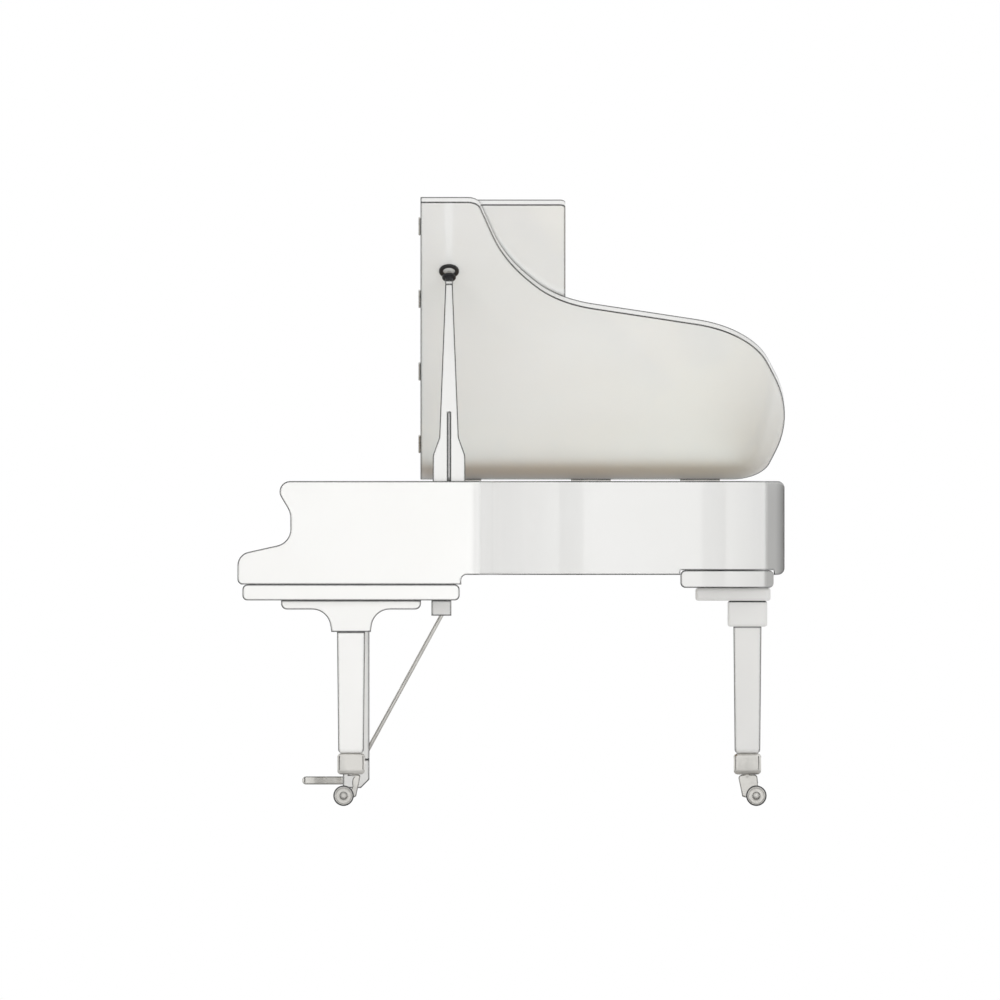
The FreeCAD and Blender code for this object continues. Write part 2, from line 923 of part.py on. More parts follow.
def black_key(note):
    y0 = head_end + black_front_gap
    y1 = y0 + black_top_length
    raised = key_top + black_key_rise
    profile = [
        (y0, key_bottom), (key_back, key_bottom), (key_back, key_top), (y1, key_top),
        (y1, raised), (y0 + black_key_slope, raised), (y0, key_top),
    ]
    x = note_x(note)
    stick = side_prism(sharp(profile), x - black_key_width / 2, x + black_key_width / 2)
    return stick.fuse(capstan(note))


def keys(white):
    make = white_key if white else black_key
    return Part.makeCompound([make(note) for note in notes_of(white)])


def key_frame():
    side = half_keyboard + frame_end_overhang
    bottom = keybed_top + frame_slide_gap
    y_front = key_front + front_rail_inset
    y_balance = front + balance_setback
    ridge_bottom = back_rail_top - balance_ridge_height
    rails = [
        box(-side, side, y_front, y_front + front_rail_width, bottom, key_bottom - front_rail_drop),
        centred_box(0, y_balance, side * 2, balance_rail_width, bottom, ridge_bottom),
        rod_x(balance_ridge_radius, -side, side, y_balance, back_rail_top - balance_ridge_radius),
        box(-side, side, key_back - back_rail_width, key_back, bottom, back_rail_top),
    ]
    for n in range(frame_batten_count):
        x = -side + frame_batten_width / 2 + n * (side * 2 - frame_batten_width) / (frame_batten_count - 1)
        batten = box(x - frame_batten_width / 2, x + frame_batten_width / 2, y_front, key_back,
                     bottom, bottom + frame_batten_height)
        rails.append(batten)
    return joined(rails)


def knuckle_low_point():
    """Lowest point of a knuckle with the hammer at rest, from the hammer's pivot."""
    turn = math.radians(hammer_rest_angle)
    y = knuckle_arm + knuckle_length / 2
    z = -shank_depth / 2 - knuckle_drop
    return y * math.cos(turn) + z * math.sin(turn), -y * math.sin(turn) + z * math.cos(turn)


def whippen(note):
    half = whippen_depth / 2
    rear = whippen_y + whippen_butt
    near = rear - whippen_length
    low, high = whippen_z - half, whippen_z + half
    heel_low = key_top + capstan_height + heel_gap
    heel0, heel1 = capstan_y - heel_length / 2, capstan_y + heel_length / 2
    knuckle_y, knuckle_z = knuckle_low_point()
    jack0 = hammer_y + knuckle_y - jack_width / 2
    jack1 = jack0 + jack_width
    jack_top = hammer_z + knuckle_z - jack_gap
    profile = [
        (rear, low), (rear, high), (jack1, high), (jack1, jack_top), (jack0, jack_top), (jack0, high),
        (near, high), (near, low), (heel0, low), (heel0, heel_low), (heel1, heel_low), (heel1, low),
    ]
    x0 = note_x(note) - whippen_width / 2
    return side_prism(sharp(profile), x0, x0 + whippen_width, (whippen_y, whippen_z, rod_bore))


def hammer(note):
    shank = shank_depth / 2
    knuckle0 = knuckle_arm - knuckle_length / 2
    knuckle1 = knuckle_arm + knuckle_length / 2
    knuckle_low = -shank - knuckle_drop
    arm = strike_y - hammer_y
    head0, head1 = arm - hammer_head_thickness / 2, arm + hammer_head_thickness / 2
    nose0, nose1 = arm - hammer_nose_width / 2, arm + hammer_nose_width / 2
    strike = hammer_reach - hammer_strike_gap
    profile = [
        (-hammer_butt, hammer_butt), (-hammer_butt, -hammer_butt), (hammer_butt, -shank * 2),
        (hammer_butt * 2, -shank), (knuckle0, -shank), (knuckle0, knuckle_low), (knuckle1, knuckle_low),
        (knuckle1, -shank), (head0, -shank), (head0, -hammer_head_tail), (head1, -hammer_head_tail),
        (head1, hammer_shoulder), (nose1, strike), (nose0, strike), (head0, hammer_shoulder),
        (head0, shank), (hammer_butt * 2, shank), (hammer_butt, hammer_butt),
    ]
    placed = [(hammer_y + y, hammer_z + z, 0) for y, z in profile]
    x0 = note_x(note) - hammer_width / 2
    raised = side_prism(placed, x0, x0 + hammer_width, (hammer_y, hammer_z, rod_bore))
    return turned(raised, V(0, hammer_y, hammer_z), along_x, -hammer_rest_angle)


def whippens(white):
    return Part.makeCompound([whippen(note) for note in notes_of(white)])


def hammers(white):
    return Part.makeCompound([hammer(note) for note in notes_of(white)])


def action_rails():
    """Whippen rail, hammer rail and their pivot rods between two end brackets on the key frame."""
    rail0 = whippen_y + whippen_butt + action_rail_gap
    rail1 = hammer_y - hammer_butt - action_rail_gap
    whippen_low = whippen_z - whippen_rail_drop
    whippen_high = whippen_low + whippen_rail_height
    hammer_low = hammer_z - hammer_rail_height / 2
    hammer_high = hammer_low + hammer_rail_height
    pieces = [
        box(-rod_end, rod_end, rail0, rail0 + action_rail_width, whippen_low, whippen_high),
        box(-rod_end, rod_end, rail1 - action_rail_width, rail1, hammer_low, hammer_high),
        rod_x(pivot_rod_radius, -rod_end, rod_end, whippen_y, whippen_z),
        rod_x(pivot_rod_radius, -rod_end, rod_end, hammer_y, hammer_z),
    ]
    for x0 in (-rod_end - action_bracket_width, rod_end):
        pieces.append(box(x0, x0 + action_bracket_width, rail1 - action_rail_width, rail0 + action_rail_width,
                          back_rail_top, hammer_high))
    return joined(pieces)


def damper_rail():
    y = front + damper_setback + damper_wire_inset
    z = keybed_top + damper_rail_rise
    x0 = string_at(0, y).x - damper_width
    x1 = string_at(damper_count - 1, y).x + damper_width
    return box(x0, x1, y - damper_rail_width / 2, y + damper_rail_width / 2, z, z + damper_rail_height)


def damper(note):
    """Damper head along its string with a wire down past it to the lift rail."""
    y0 = front + damper_setback
    wire_y = y0 + damper_wire_inset
    middle = string_at(note, y0 + damper_length / 2)
    way = string_way(note)
    bottom = string_height_of(note) + string_radius_of(note) + damper_felt_gap
    top = bottom + damper_height
    width = bass_damper_width if is_bass(note) else damper_width
    head = centred_box(middle.x, middle.y, width, damper_length, bottom, top)
    head = turned(head, middle, along_z, math.degrees(math.atan2(-way.x, way.y)))
    offset = string_radius_of(note) + damper_wire_gap + damper_wire_radius
    wire_x = string_at(note, wire_y).x + (offset if is_bass(note) else -offset)
    rail_top = keybed_top + damper_rail_rise + damper_rail_height
    return [head, rod(damper_wire_radius, V(wire_x, wire_y, rail_top), V(wire_x, wire_y, bottom))]


def dampers():
    pieces = [damper_rail()]
    for note in range(damper_count):
        pieces += damper(note)
    return joined(pieces)


# Fallboard, music tray and desk

def fallboard():
    half = fallboard_thickness / 2
    top = fallboard_z - half + fallboard_length
    side = inside - fallboard_end_gap
    profile = slab(fallboard_y - half, fallboard_y + half, fallboard_z - half, top, half - point_tolerance)
    panel = side_prism(profile, -side, side)
    reach = inside + fallboard_pin_length - fallboard_end_gap
    pieces = [panel]
    for x0, x1 in ((-reach, -side), (side, reach)):
        pieces.append(rod_x(fallboard_pin_radius, x0, x1, fallboard_y, fallboard_z))
    return joined(pieces)


def desk_runners():
    y0 = stretcher_rear + rim_joint_gap
    y1 = tray_front + tray_depth + runner_overrun
    top = tray_bottom - slide_gap
    near = inside - runner_width
    runners = [box(x0, x1, y0, y1, top - runner_height, top) for x0, x1 in ((-inside, -near), (near, inside))]
    return Part.makeCompound(runners)


def music_tray():
    """Sliding tray with two lugs whose pins carry the desk."""
    side = inside - tray_end_gap
    pieces = [box(-side, side, tray_front, tray_front + tray_depth, tray_bottom, tray_top)]
    half = desk_thickness / 2
    near = desk_width / 2 + slide_gap
    far = near + desk_lug_width
    for x0, x1, tip in ((-far, -near, -near + desk_lug_width), (near, far, near - desk_lug_width)):
        pieces.append(box(x0, x1, desk_y - half, desk_y + half, tray_top, desk_z + half))
        pieces.append(rod_x(desk_pin_radius, min(x0, tip), max(x1, tip), desk_y, desk_z))
    return joined(pieces)


def music_desk():
    half = desk_thickness / 2
    y0 = desk_y - half
    profile = slab(y0, y0 + desk_depth, desk_z - half, desk_z + half, half - point_tolerance)
    panel = side_prism(profile, -desk_width / 2, desk_width / 2)
    bore = desk_pin_radius + pin_gap
    reach = desk_width / 2 + cut_overrun
    depth = desk_width / 2 - desk_lug_width
    holes = [rod_x(bore, x0, x1, desk_y, desk_z) for x0, x1 in ((-reach, -depth), (depth, reach))]
    return panel.cut(Part.makeCompound(holes))


# Legs and casters

def front_leg_brackets():
    lip = keybed_height - bracket_lip_drop
    foot = keybed_height - bracket_height
    half = [
        (bracket_depth / 2, keybed_height, 0), (bracket_depth / 2, lip, bracket_lip_radius),
        (bracket_neck_depth / 2, lip, bracket_neck_radius), (bracket_foot_depth / 2, foot, 0),
    ]
    profile = [(front_leg_y - y, z, radius) for y, z, radius in half]
    profile += [(front_leg_y + y, z, radius) for y, z, radius in half[::-1]]
    brackets = []
    for x in (-front_leg_spread / 2, front_leg_spread / 2):
        brackets.append(side_prism(profile, x - bracket_width / 2, x + bracket_width / 2))
    return Part.makeCompound(brackets)


def square(x, y, width, z):
    half = width / 2
    corners = sharp([(x - half, y - half), (x + half, y - half), (x + half, y + half), (x - half, y + half)])
    return wire(corners, lambda a, b: V(a, b, z))


def leg(x, y, top):
    """Square tapered leg with rounded lower edges, standing on its cuff."""
    ends = [square(x, y, leg_bottom_width, cuff_top), square(x, y, leg_top_width, top)]
    body = Part.makeLoft(ends, True, True)
    low = [edge for edge in body.Edges if edge.BoundBox.ZMax < cuff_top + point_tolerance]
    return body.makeFillet(leg_edge_radius, low)


def legs():
    front_top = keybed_height - bracket_height
    tops = {"front_left": front_top, "front_right": front_top, "rear": rear_collar_bottom}
    return Part.makeCompound([leg(x, y, tops[name]) for name, (x, y, way, trail) in caster_places.items()])


def leg_cuffs():
    cuffs = []
    for x, y, way, trail in caster_places.values():
        cuff = rounded_box(x, y, cuff_width, cuff_width, cuff_bottom_height, cuff_top, cuff_edge_radius)
        bore_top = cuff_bottom_height + stem_length
        bore = rod(stem_radius + pin_gap, V(x, y, cuff_bottom_height), V(x, y, bore_top))
        cuffs.append(cuff.cut(bore))
    return Part.makeCompound(cuffs)


def rear_leg_beam():
    y0 = tail - rear_beam_front_setback
    y1 = tail - rear_beam_rear_setback
    profile = slab(y0, y1, rear_beam_bottom_height, rear_beam_top, rear_beam_edge_radius)
    beam = side_prism(profile, -half_width, half_width)
    return beam.common(flat_prism(inset(outline(), rear_beam_inset), rear_beam_bottom_height, rear_beam_top))


def rear_leg_blocks():
    x, y = rear_leg_offset, rear_leg_y
    block = rounded_box(x, y - rear_block_shift, rear_block_width, rear_block_depth,
                        rear_block_bottom, rear_beam_bottom_height, rear_block_edge_radius)
    collar = rounded_box(x, y, rear_collar_width, rear_collar_width,
                         rear_collar_bottom, rear_block_bottom, rear_block_edge_radius)
    return Part.makeCompound([block, collar])


def caster_horn(x, y, way, trail):
    """Swivel fork of a caster: a stem in the cuff and one flat horn between the twin wheels."""
    top = cuff_bottom_height - swivel_gap
    half = horn_top_depth / 2
    profile = [
        (-half, top, horn_corner_radius), (half, top, horn_corner_radius),
        (trail + horn_boss_radius, wheel_radius, horn_corner_radius),
        (trail, wheel_radius - horn_boss_radius, horn_corner_radius),
        (-half + horn_toe_depth, horn_toe_height, horn_corner_radius),
    ]
    placed = [(y + way * u, z, radius) for u, z, radius in profile]
    bore = (y + way * trail, wheel_radius, axle_radius + pin_gap)
    horn = side_prism(placed, x - horn_width / 2, x + horn_width / 2, bore)
    stem = rod(stem_radius, V(x, y, top - horn_corner_radius), V(x, y, top + stem_length))
    return joined([horn, stem])


def caster_wheels(x, y, way, trail):
    """Twin wheels on one axle that turns in the horn."""
    axle_y = y + way * trail
    near = horn_width / 2 + wheel_side_gap
    far = near + wheel_width
    pieces = [rod_x(axle_radius, x - far, x + far, axle_y, wheel_radius)]
    for x0, x1 in ((x - far, x - near), (x + near, x + far)):
        disc = rod_x(wheel_radius, x0, x1, axle_y, wheel_radius)
        pieces.append(disc.makeFillet(wheel_edge_radius, disc.Edges))
    return joined(pieces)


# Lyre and pedals

def pedal_rod_hole(x):
    return rod(rod_radius + rod_hole_gap, V(x, rod_y, pedal_top), V(x, rod_y, keybed_top))


def brace_ends():
    """Lower and upper end of the brace rods along the lyre's side, as (y, z) points."""
    lower = V(0, lyre_rear, brace_foot_height)
    upper = V(0, front + brace_block_setback + brace_block_depth / 2, keybed_height - brace_block_height)
    return lower, upper


def lyre_braces():
    lower, upper = brace_ends()
    sink = (upper - lower).normalize() * brace_socket
    braces = []
    for x in (-lyre_post_spread / 2, lyre_post_spread / 2):
        side = V(x, 0, 0)
        braces.append(rod(brace_radius, lower - sink + side, upper + sink + side))
    return Part.makeCompound(braces)


def lyre_blocks():
    """Top block that carries the lyre and the block that carries its braces."""
    y = lyre_rear - lyre_top_depth / 2
    top = centred_box(0, y, lyre_top_width, lyre_top_depth, lyre_top_bottom, keybed_height)
    top = top.cut(Part.makeCompound([pedal_rod_hole(x) for x in pedal_places]))
    y = front + brace_block_setback + brace_block_depth / 2
    low = keybed_height - brace_block_height
    block = centred_box(0, y, brace_block_width, brace_block_depth, low, keybed_height)
    return Part.makeCompound([top, block.cut(lyre_braces())])


def lyre_posts():
    posts = []
    for x in (-lyre_post_spread / 2, lyre_post_spread / 2):
        y = lyre_rear - lyre_post_depth / 2
        post = centred_box(x, y, lyre_post_width, lyre_post_depth, pedal_box_top, lyre_top_bottom)
        posts.append(post.cut(lyre_braces()))
    return Part.makeCompound(posts)


def pedal_box():
    y0 = lyre_rear - pedal_box_depth
    bottom = pedal_box_bottom_height
    profile = sharp([
        (y0, bottom), (lyre_rear - pedal_box_chamfer, bottom), (lyre_rear, bottom + pedal_box_chamfer),
        (lyre_rear, pedal_box_top), (y0, pedal_box_top),
    ])
    side = pedal_box_width / 2
    case = side_prism(profile, -side, side)
    half = pedal_heel_width / 2 + pedal_slot_gap
    low = pedal_height - pedal_thickness / 2 - pedal_slot_drop
    high = pedal_top + pedal_slot_drop
    cuts = [pedal_rod_hole(x) for x in pedal_places]
    for x in pedal_places:
        cuts.append(box(x - half, x + half, y0 - cut_overrun, lyre_rear - pedal_box_wall, low, high))
    pin = rod_x(pedal_pin_radius, -side + pedal_box_wall, side - pedal_box_wall, pedal_pivot_y, pedal_height)
    return joined([case.cut(Part.makeCompound(cuts)), pin])


def pedal(x):
    """Pedal with a round tongue in front of the box and a narrow heel on the pivot pin inside it."""
    y0 = front + pedal_front_setback
    mouth = lyre_rear - pedal_box_depth - pedal_slot_gap
    tongue = pedal_width / 2
    heel = pedal_heel_width / 2
    plan = [
        (x - tongue, y0, tongue - point_tolerance), (x + tongue, y0, tongue - point_tolerance),
        (x + tongue, y0 + pedal_width * 2, tongue), (x + heel, mouth, 0), (x + heel, pedal_rear, 0),
        (x - heel, pedal_rear, 0), (x - heel, mouth, 0), (x - tongue, y0 + pedal_width * 2, tongue),
    ]
    low = pedal_height - pedal_thickness / 2
    rounding = pedal_thickness / 2 - point_tolerance
    bore = (pedal_pivot_y, pedal_height, pedal_pin_radius + pin_gap)
    side = side_prism(slab(y0, pedal_rear, low, pedal_top, rounding), x - tongue, x + tongue, bore)
    return flat_prism(plan, low, pedal_top).common(side)


def pedal_rod(x):
    return rod(rod_radius, V(x, rod_y, pedal_top + rod_gap), V(x, rod_y, rod_top))


# Lid and its prop

def opened(shape):
    return turned(shape, V(hinge_x, 0, hinge_z), along_y, -lid_open_angle)


def lid_panel():
    panel = flat_prism(outline(), lid_bottom, lid_top)
    behind = box(-half_width, half_width, lid_front, tail + case_length, lid_bottom, lid_top)
    return opened(panel.common(behind))


def hinge_thirds(middle, length):
    """Ends of the three knuckles of a hinge, with a running gap beside the middle one."""
    start = middle - length / 2
    third = length / 3
    gap = hinge_knuckle_gap
    first = (start, start + third - gap)
    last = (start + third * 2 + gap, start + length)
    return first, (start + third, start + third * 2), last


def lid_hinge_y(share):
    spine = outline()[-2][1] - lid_front
    return lid_front + share * spine


def rim_leaf(share):
    """Leaf on the side of the rim with its two knuckles and the hinge pin."""
    y = lid_hinge_y(share)
    first, middle, last = hinge_thirds(y, hinge_length)
    x0 = -half_width - hinge_leaf_thickness
    clear = hinge_z - hinge_knuckle_radius - hinge_knuckle_gap
    pieces = [box(x0, -half_width, first[0], last[1], hinge_z - rim_leaf_drop, clear)]
    for y0, y1 in (first, last):
        pieces.append(box(x0, -half_width, y0, y1, clear, hinge_z))
        pieces.append(rod(hinge_knuckle_radius, V(hinge_x, y0, hinge_z), V(hinge_x, y1, hinge_z)))
    pieces.append(rod(hinge_pin_radius, V(hinge_x, first[0], hinge_z), V(hinge_x, last[1], hinge_z)))
    return joined(pieces)


def lid_leaf(share):
    """Leaf on the edge of the lid with the middle knuckle."""
    first, middle, last = hinge_thirds(lid_hinge_y(share), hinge_length)
    x0 = -half_width - hinge_leaf_thickness
    clear = hinge_z + hinge_knuckle_radius + hinge_knuckle_gap
    plate = box(x0, -half_width, first[0], last[1], clear, hinge_z + lid_leaf_rise)
    tab = box(x0, -half_width, middle[0], middle[1], hinge_z, clear)
    ends = V(hinge_x, middle[0], hinge_z), V(hinge_x, middle[1], hinge_z)
    leaf = joined([plate, tab, rod(hinge_knuckle_radius, ends[0], ends[1])])
    return leaf.cut(rod(hinge_pin_radius + pin_gap, ends[0], ends[1]))


def lid_hinge_rim_leaves():
    return Part.makeCompound([rim_leaf(share) for share in lid_hinge_places_shares])


def flap_hinge_x(share):
    width = case_width - flap_end_inset * 2
    return (share - 0.5) * width


def flap_lid_leaf(share):
    """Leaf on top of the lid with two knuckles and the pin of a flap hinge."""
    first, middle, last = hinge_thirds(flap_hinge_x(share), flap_hinge_length)
    top = lid_top + flap_leaf_thickness
    pieces = [box(first[0], last[1], lid_front, lid_front + flap_leaf_depth, lid_top, top)]
    for x0, x1 in (first, last):
        pieces.append(box(x0, x1, flap_axis_y, lid_front, lid_top, top))
        pieces.append(rod_x(flap_knuckle_radius, x0, x1, flap_axis_y, flap_axis_z))
    pieces.append(rod_x(flap_pin_radius, first[0], last[1], flap_axis_y, flap_axis_z))
    return joined(pieces)


def flap_leaf(share):
    """Leaf on the flap with the middle knuckle, drawn with the flap unfolded."""
    first, middle, last = hinge_thirds(flap_hinge_x(share), flap_hinge_length)
    top = lid_top + flap_leaf_thickness
    edge = flap_axis_y - flap_hinge_gap
    plate = box(first[0], last[1], edge - flap_leaf_depth, edge, lid_top, top)
    tab = box(middle[0], middle[1], edge, flap_axis_y, lid_top, top)
    knuckle = rod_x(flap_knuckle_radius, middle[0], middle[1], flap_axis_y, flap_axis_z)
    bore = rod_x(flap_pin_radius + pin_gap, middle[0], middle[1], flap_axis_y, flap_axis_z)
    return joined([plate, tab, knuckle]).cut(bore)


def folded(shape):
    """Flap pieces turned over onto the lid, then raised with it."""
    return opened(turned(shape, V(0, flap_axis_y, flap_axis_z), along_x, 180))


def lid_leaves():
    leaves = [lid_leaf(share) for share in lid_hinge_places_shares]
    leaves += [flap_lid_leaf(share) for share in flap_hinge_places_shares]
    return Part.makeCompound([opened(leaf) for leaf in leaves])


def flap_leaves():
    return Part.makeCompound([folded(flap_leaf(share)) for share in flap_hinge_places_shares])


def lid_flap():
    side = half_width - flap_end_inset
    rear = flap_axis_y - flap_hinge_gap
    near = rear - flap_depth
    round_corner = flap_corner_radius
    plan = [(-side, rear, 0), (-side, near, round_corner), (side, near, round_corner), (side, rear, 0)]
    return folded(flat_prism(plan, lid_bottom, lid_top))


def lid_point(reach, drop):
    """Point under the opened lid, at a reach from the hinge axis and a drop below its underside."""
    spot = Part.Vertex(hinge_x + reach, prop_y, lid_bottom - drop)
    return opened(spot).Point


def prop_tip_centre():
    return lid_point(prop_reach, prop_tip_radius + prop_lid_gap)


def prop_length():
    return (prop_tip_centre() - V(prop_x, prop_y, prop_z)).Length


def leaning(shape):
    """Prop pieces drawn upright on their pivot, leaned until the tip meets the lid."""
    way = prop_tip_centre() - V(prop_x, prop_y, prop_z)
    lean = math.degrees(math.atan2(-way.x, way.z))
    placed = turned(shape, V(0, 0, 0), along_y, -lean)
    placed.translate(V(prop_x, prop_y, prop_z))
    return placed


def short_prop_x():
    return prop_thickness / 2 - short_prop_pivot_depth


def lid_prop():
    """Tapered board on a round foot, with a slot for the short prop and that prop's pin."""
    top = prop_length() - prop_tip_length
    half = prop_thickness / 2
    outline_points = [
        (-prop_base_width / 2, 0, 0), (prop_base_width / 2, 0, 0),
        (prop_base_width / 2, prop_base_length, prop_neck_radius),
        (prop_neck_width / 2, prop_neck_length, prop_neck_radius),
        (prop_tip_width / 2, top, 0), (-prop_tip_width / 2, top, 0),
        (-prop_neck_width / 2, prop_neck_length, prop_neck_radius),
        (-prop_base_width / 2, prop_base_length, prop_neck_radius),
    ]
    board = side_prism(outline_points, -half, half)
    side = V(0, prop_base_width / 2, 0)
    foot = rod(half, side * -1, side)
    slot = box(half - prop_slot_depth, half + cut_overrun, -prop_slot_width / 2, prop_slot_width / 2,
               prop_slot_start, prop_slot_end)
    pin_side = V(0, prop_slot_width / 2, 0)
    pin_place = V(short_prop_x(), 0, prop_slot_start + short_prop_pivot)
    pin = rod(short_prop_pin_radius, pin_place - pin_side, pin_place + pin_side)
    body = joined([board, foot]).cut(rod(prop_pin_radius + pin_gap, side * -1, side)).cut(slot)
    return leaning(joined([body, pin]))


def short_prop():
    """Narrow stick that lies in the long prop's slot and swings out of it at its lower end."""
    width = prop_slot_width / 2 - short_prop_gap
    pivot_z = prop_slot_start + short_prop_pivot
    floor = prop_thickness / 2 - prop_slot_depth + short_prop_gap
    face = prop_thickness / 2
    round_foot = short_prop_x() - floor
    centre = V(short_prop_x(), -width, pivot_z)
    stick = joined([
        box(floor, face, -width, width, pivot_z, prop_slot_end - short_prop_gap),
        Part.makeCylinder(round_foot, width * 2, centre, along_y),
    ])
    return leaning(stick.cut(Part.makeCylinder(short_prop_pin_radius + pin_gap, width * 2, centre, along_y)))


def prop_tip():
    length = prop_length()
    low = V(0, 0, length - prop_tip_length)
    return leaning(joined([rod(prop_tip_radius, low, V(0, 0, length)),
                           Part.makeSphere(prop_tip_radius, V(0, 0, length))]))


def prop_cup():
    """Horseshoe under the lid round the prop tip, open towards the hinge side."""
    x = hinge_x + prop_reach
    top = V(x, prop_y, lid_bottom)
    low = V(x, prop_y, lid_bottom - cup_depth)
    ring = rod(cup_radius, low, top).cut(rod(cup_bore, low, top))
    side = cup_radius + cut_overrun
    mouth = box(x - side, x, prop_y - cup_bore, prop_y + cup_bore, lid_bottom - cup_depth, lid_bottom)
    return opened(ring.cut(mouth))


def prop_bracket():
    """Plate on the treble rim with two ears and the pin that carries the prop."""
    near = prop_base_width / 2 + bracket_ear_gap
    far = near + bracket_ear_width
    x0 = inside - bracket_plate_thickness
    half = bracket_plate_drop / 2
    pieces = [box(x0, inside, prop_y - far, prop_y + far, prop_z - half, prop_z + half)]
    for y0 in (prop_y - far, prop_y + near):
        y1 = y0 + bracket_ear_width
        pieces.append(box(prop_x, x0, y0, y1, prop_z - bracket_ear_radius, prop_z + bracket_ear_radius))
        pieces.append(rod(bracket_ear_radius, V(prop_x, y0, prop_z), V(prop_x, y1, prop_z)))
    pieces.append(rod(prop_pin_radius, V(prop_x, prop_y - far, prop_z), V(prop_x, prop_y + far, prop_z)))
    return joined(pieces)


# Every piece by its name

def pieces():
    named = {
        "outer_rim": outer_rim(), "inner_rim": inner_rim(), "belly_rail": belly_rail(),
        "back_posts": back_posts(), "keybed": keybed(), "key_slip": key_slip(),
        "key_blocks": key_blocks(), "stretcher": stretcher(), "soundboard": soundboard(),
        "soundboard_ribs": soundboard_ribs(), "bridges": bridges(), "pin_block": pin_block(),
        "iron_plate": iron_plate(), "tuning_pins": tuning_pins(),
        "bass_strings": strings(range(bass_note_count)),
        "treble_strings": strings(range(bass_note_count, key_count)),
        "front_leg_brackets": front_leg_brackets(), "rear_leg_beam": rear_leg_beam(),
        "rear_leg_blocks": rear_leg_blocks(), "legs": legs(), "leg_cuffs": leg_cuffs(),
        "lyre_blocks": lyre_blocks(), "lyre_posts": lyre_posts(), "pedal_box": pedal_box(),
        "lyre_braces": lyre_braces(), "lid_hinge_rim_leaves": lid_hinge_rim_leaves(),
        "prop_bracket": prop_bracket(), "desk_runners": desk_runners(),
        "lid_panel": lid_panel(), "lid_leaves": lid_leaves(), "prop_cup": prop_cup(),
        "lid_flap": lid_flap(), "flap_leaves": flap_leaves(), "lid_prop": lid_prop(),
        "prop_tip": prop_tip(), "short_prop": short_prop(), "fallboard": fallboard(),
        "music_tray": music_tray(), "music_desk": music_desk(), "key_frame": key_frame(),
        "action_rails": action_rails(), "dampers": dampers(),
    }
    for name, white in (("white", True), ("black", False)):
        named[name + "_keys"] = keys(white)
        named[name + "_whippens"] = whippens(white)
        named[name + "_hammers"] = hammers(white)
    for name, x in zip(("soft", "sostenuto", "sustain"), pedal_places):
        named[name + "_pedal"] = pedal(x)
        named[name + "_pedal_rod"] = pedal_rod(x)
    for name, place in caster_places.items():
        named[name + "_caster_horn"] = caster_horn(*place)
        named[name + "_caster_wheels"] = caster_wheels(*place)
    return named


os.makedirs("parts", exist_ok=True)
for name, shape in pieces().items():
    shape.exportStep("parts/" + name + ".step")
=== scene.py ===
"""Looks of the grand piano: finishes for every CAD node, the small parts that finish it, and its studio."""

import json
import math

import bpy
from mathutils import Matrix, Vector

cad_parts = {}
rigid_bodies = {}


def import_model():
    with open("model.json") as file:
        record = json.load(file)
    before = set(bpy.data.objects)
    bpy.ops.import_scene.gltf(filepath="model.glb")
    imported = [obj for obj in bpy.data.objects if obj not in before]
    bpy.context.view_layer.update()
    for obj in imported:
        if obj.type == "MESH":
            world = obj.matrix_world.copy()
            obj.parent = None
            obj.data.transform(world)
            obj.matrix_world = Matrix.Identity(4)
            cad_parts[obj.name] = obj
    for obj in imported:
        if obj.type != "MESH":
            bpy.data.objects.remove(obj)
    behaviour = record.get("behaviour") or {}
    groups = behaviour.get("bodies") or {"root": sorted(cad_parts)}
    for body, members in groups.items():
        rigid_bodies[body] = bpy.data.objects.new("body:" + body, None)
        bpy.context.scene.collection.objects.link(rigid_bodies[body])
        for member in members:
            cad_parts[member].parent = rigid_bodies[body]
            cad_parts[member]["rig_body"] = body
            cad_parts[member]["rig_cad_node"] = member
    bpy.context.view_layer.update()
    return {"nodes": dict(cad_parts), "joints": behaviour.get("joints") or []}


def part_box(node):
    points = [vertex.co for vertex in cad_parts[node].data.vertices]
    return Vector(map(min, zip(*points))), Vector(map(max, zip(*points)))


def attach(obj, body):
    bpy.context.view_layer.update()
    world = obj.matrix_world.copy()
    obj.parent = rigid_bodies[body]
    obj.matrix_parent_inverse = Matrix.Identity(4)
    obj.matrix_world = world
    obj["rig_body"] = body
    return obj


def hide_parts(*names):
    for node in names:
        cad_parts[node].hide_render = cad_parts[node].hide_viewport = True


bl_info = {
    "name": "Grand piano dressing",
    "version": (1, 0, 0),
    "blender": (4, 5, 0),
    "location": "View3D > Sidebar > Piano",
    "description": "Finishes, strings, small fittings and studio for a grand piano",
    "category": "Object",
}

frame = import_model()
nodes = frame["nodes"]
hinge_pins = {joint["name"]: Vector(joint["pos_m"]) for joint in frame["joints"] if "pos_m" in joint}
UP = Vector((0, 0, 1))
DOWN = Vector((0, 0, -1))
FULL_TURN = 2 * math.pi
QUARTER_TURN = math.pi / 2


# Sizes and colours that a user would change

def length(name, description, default):
    return bpy.props.FloatProperty(name=name, description=description, default=default, unit="LENGTH", precision=4)


def colour(name, description, default):
    return bpy.props.FloatVectorProperty(
        name=name, description=description, default=(*default, 1), size=4, subtype="COLOR", min=0, max=1)


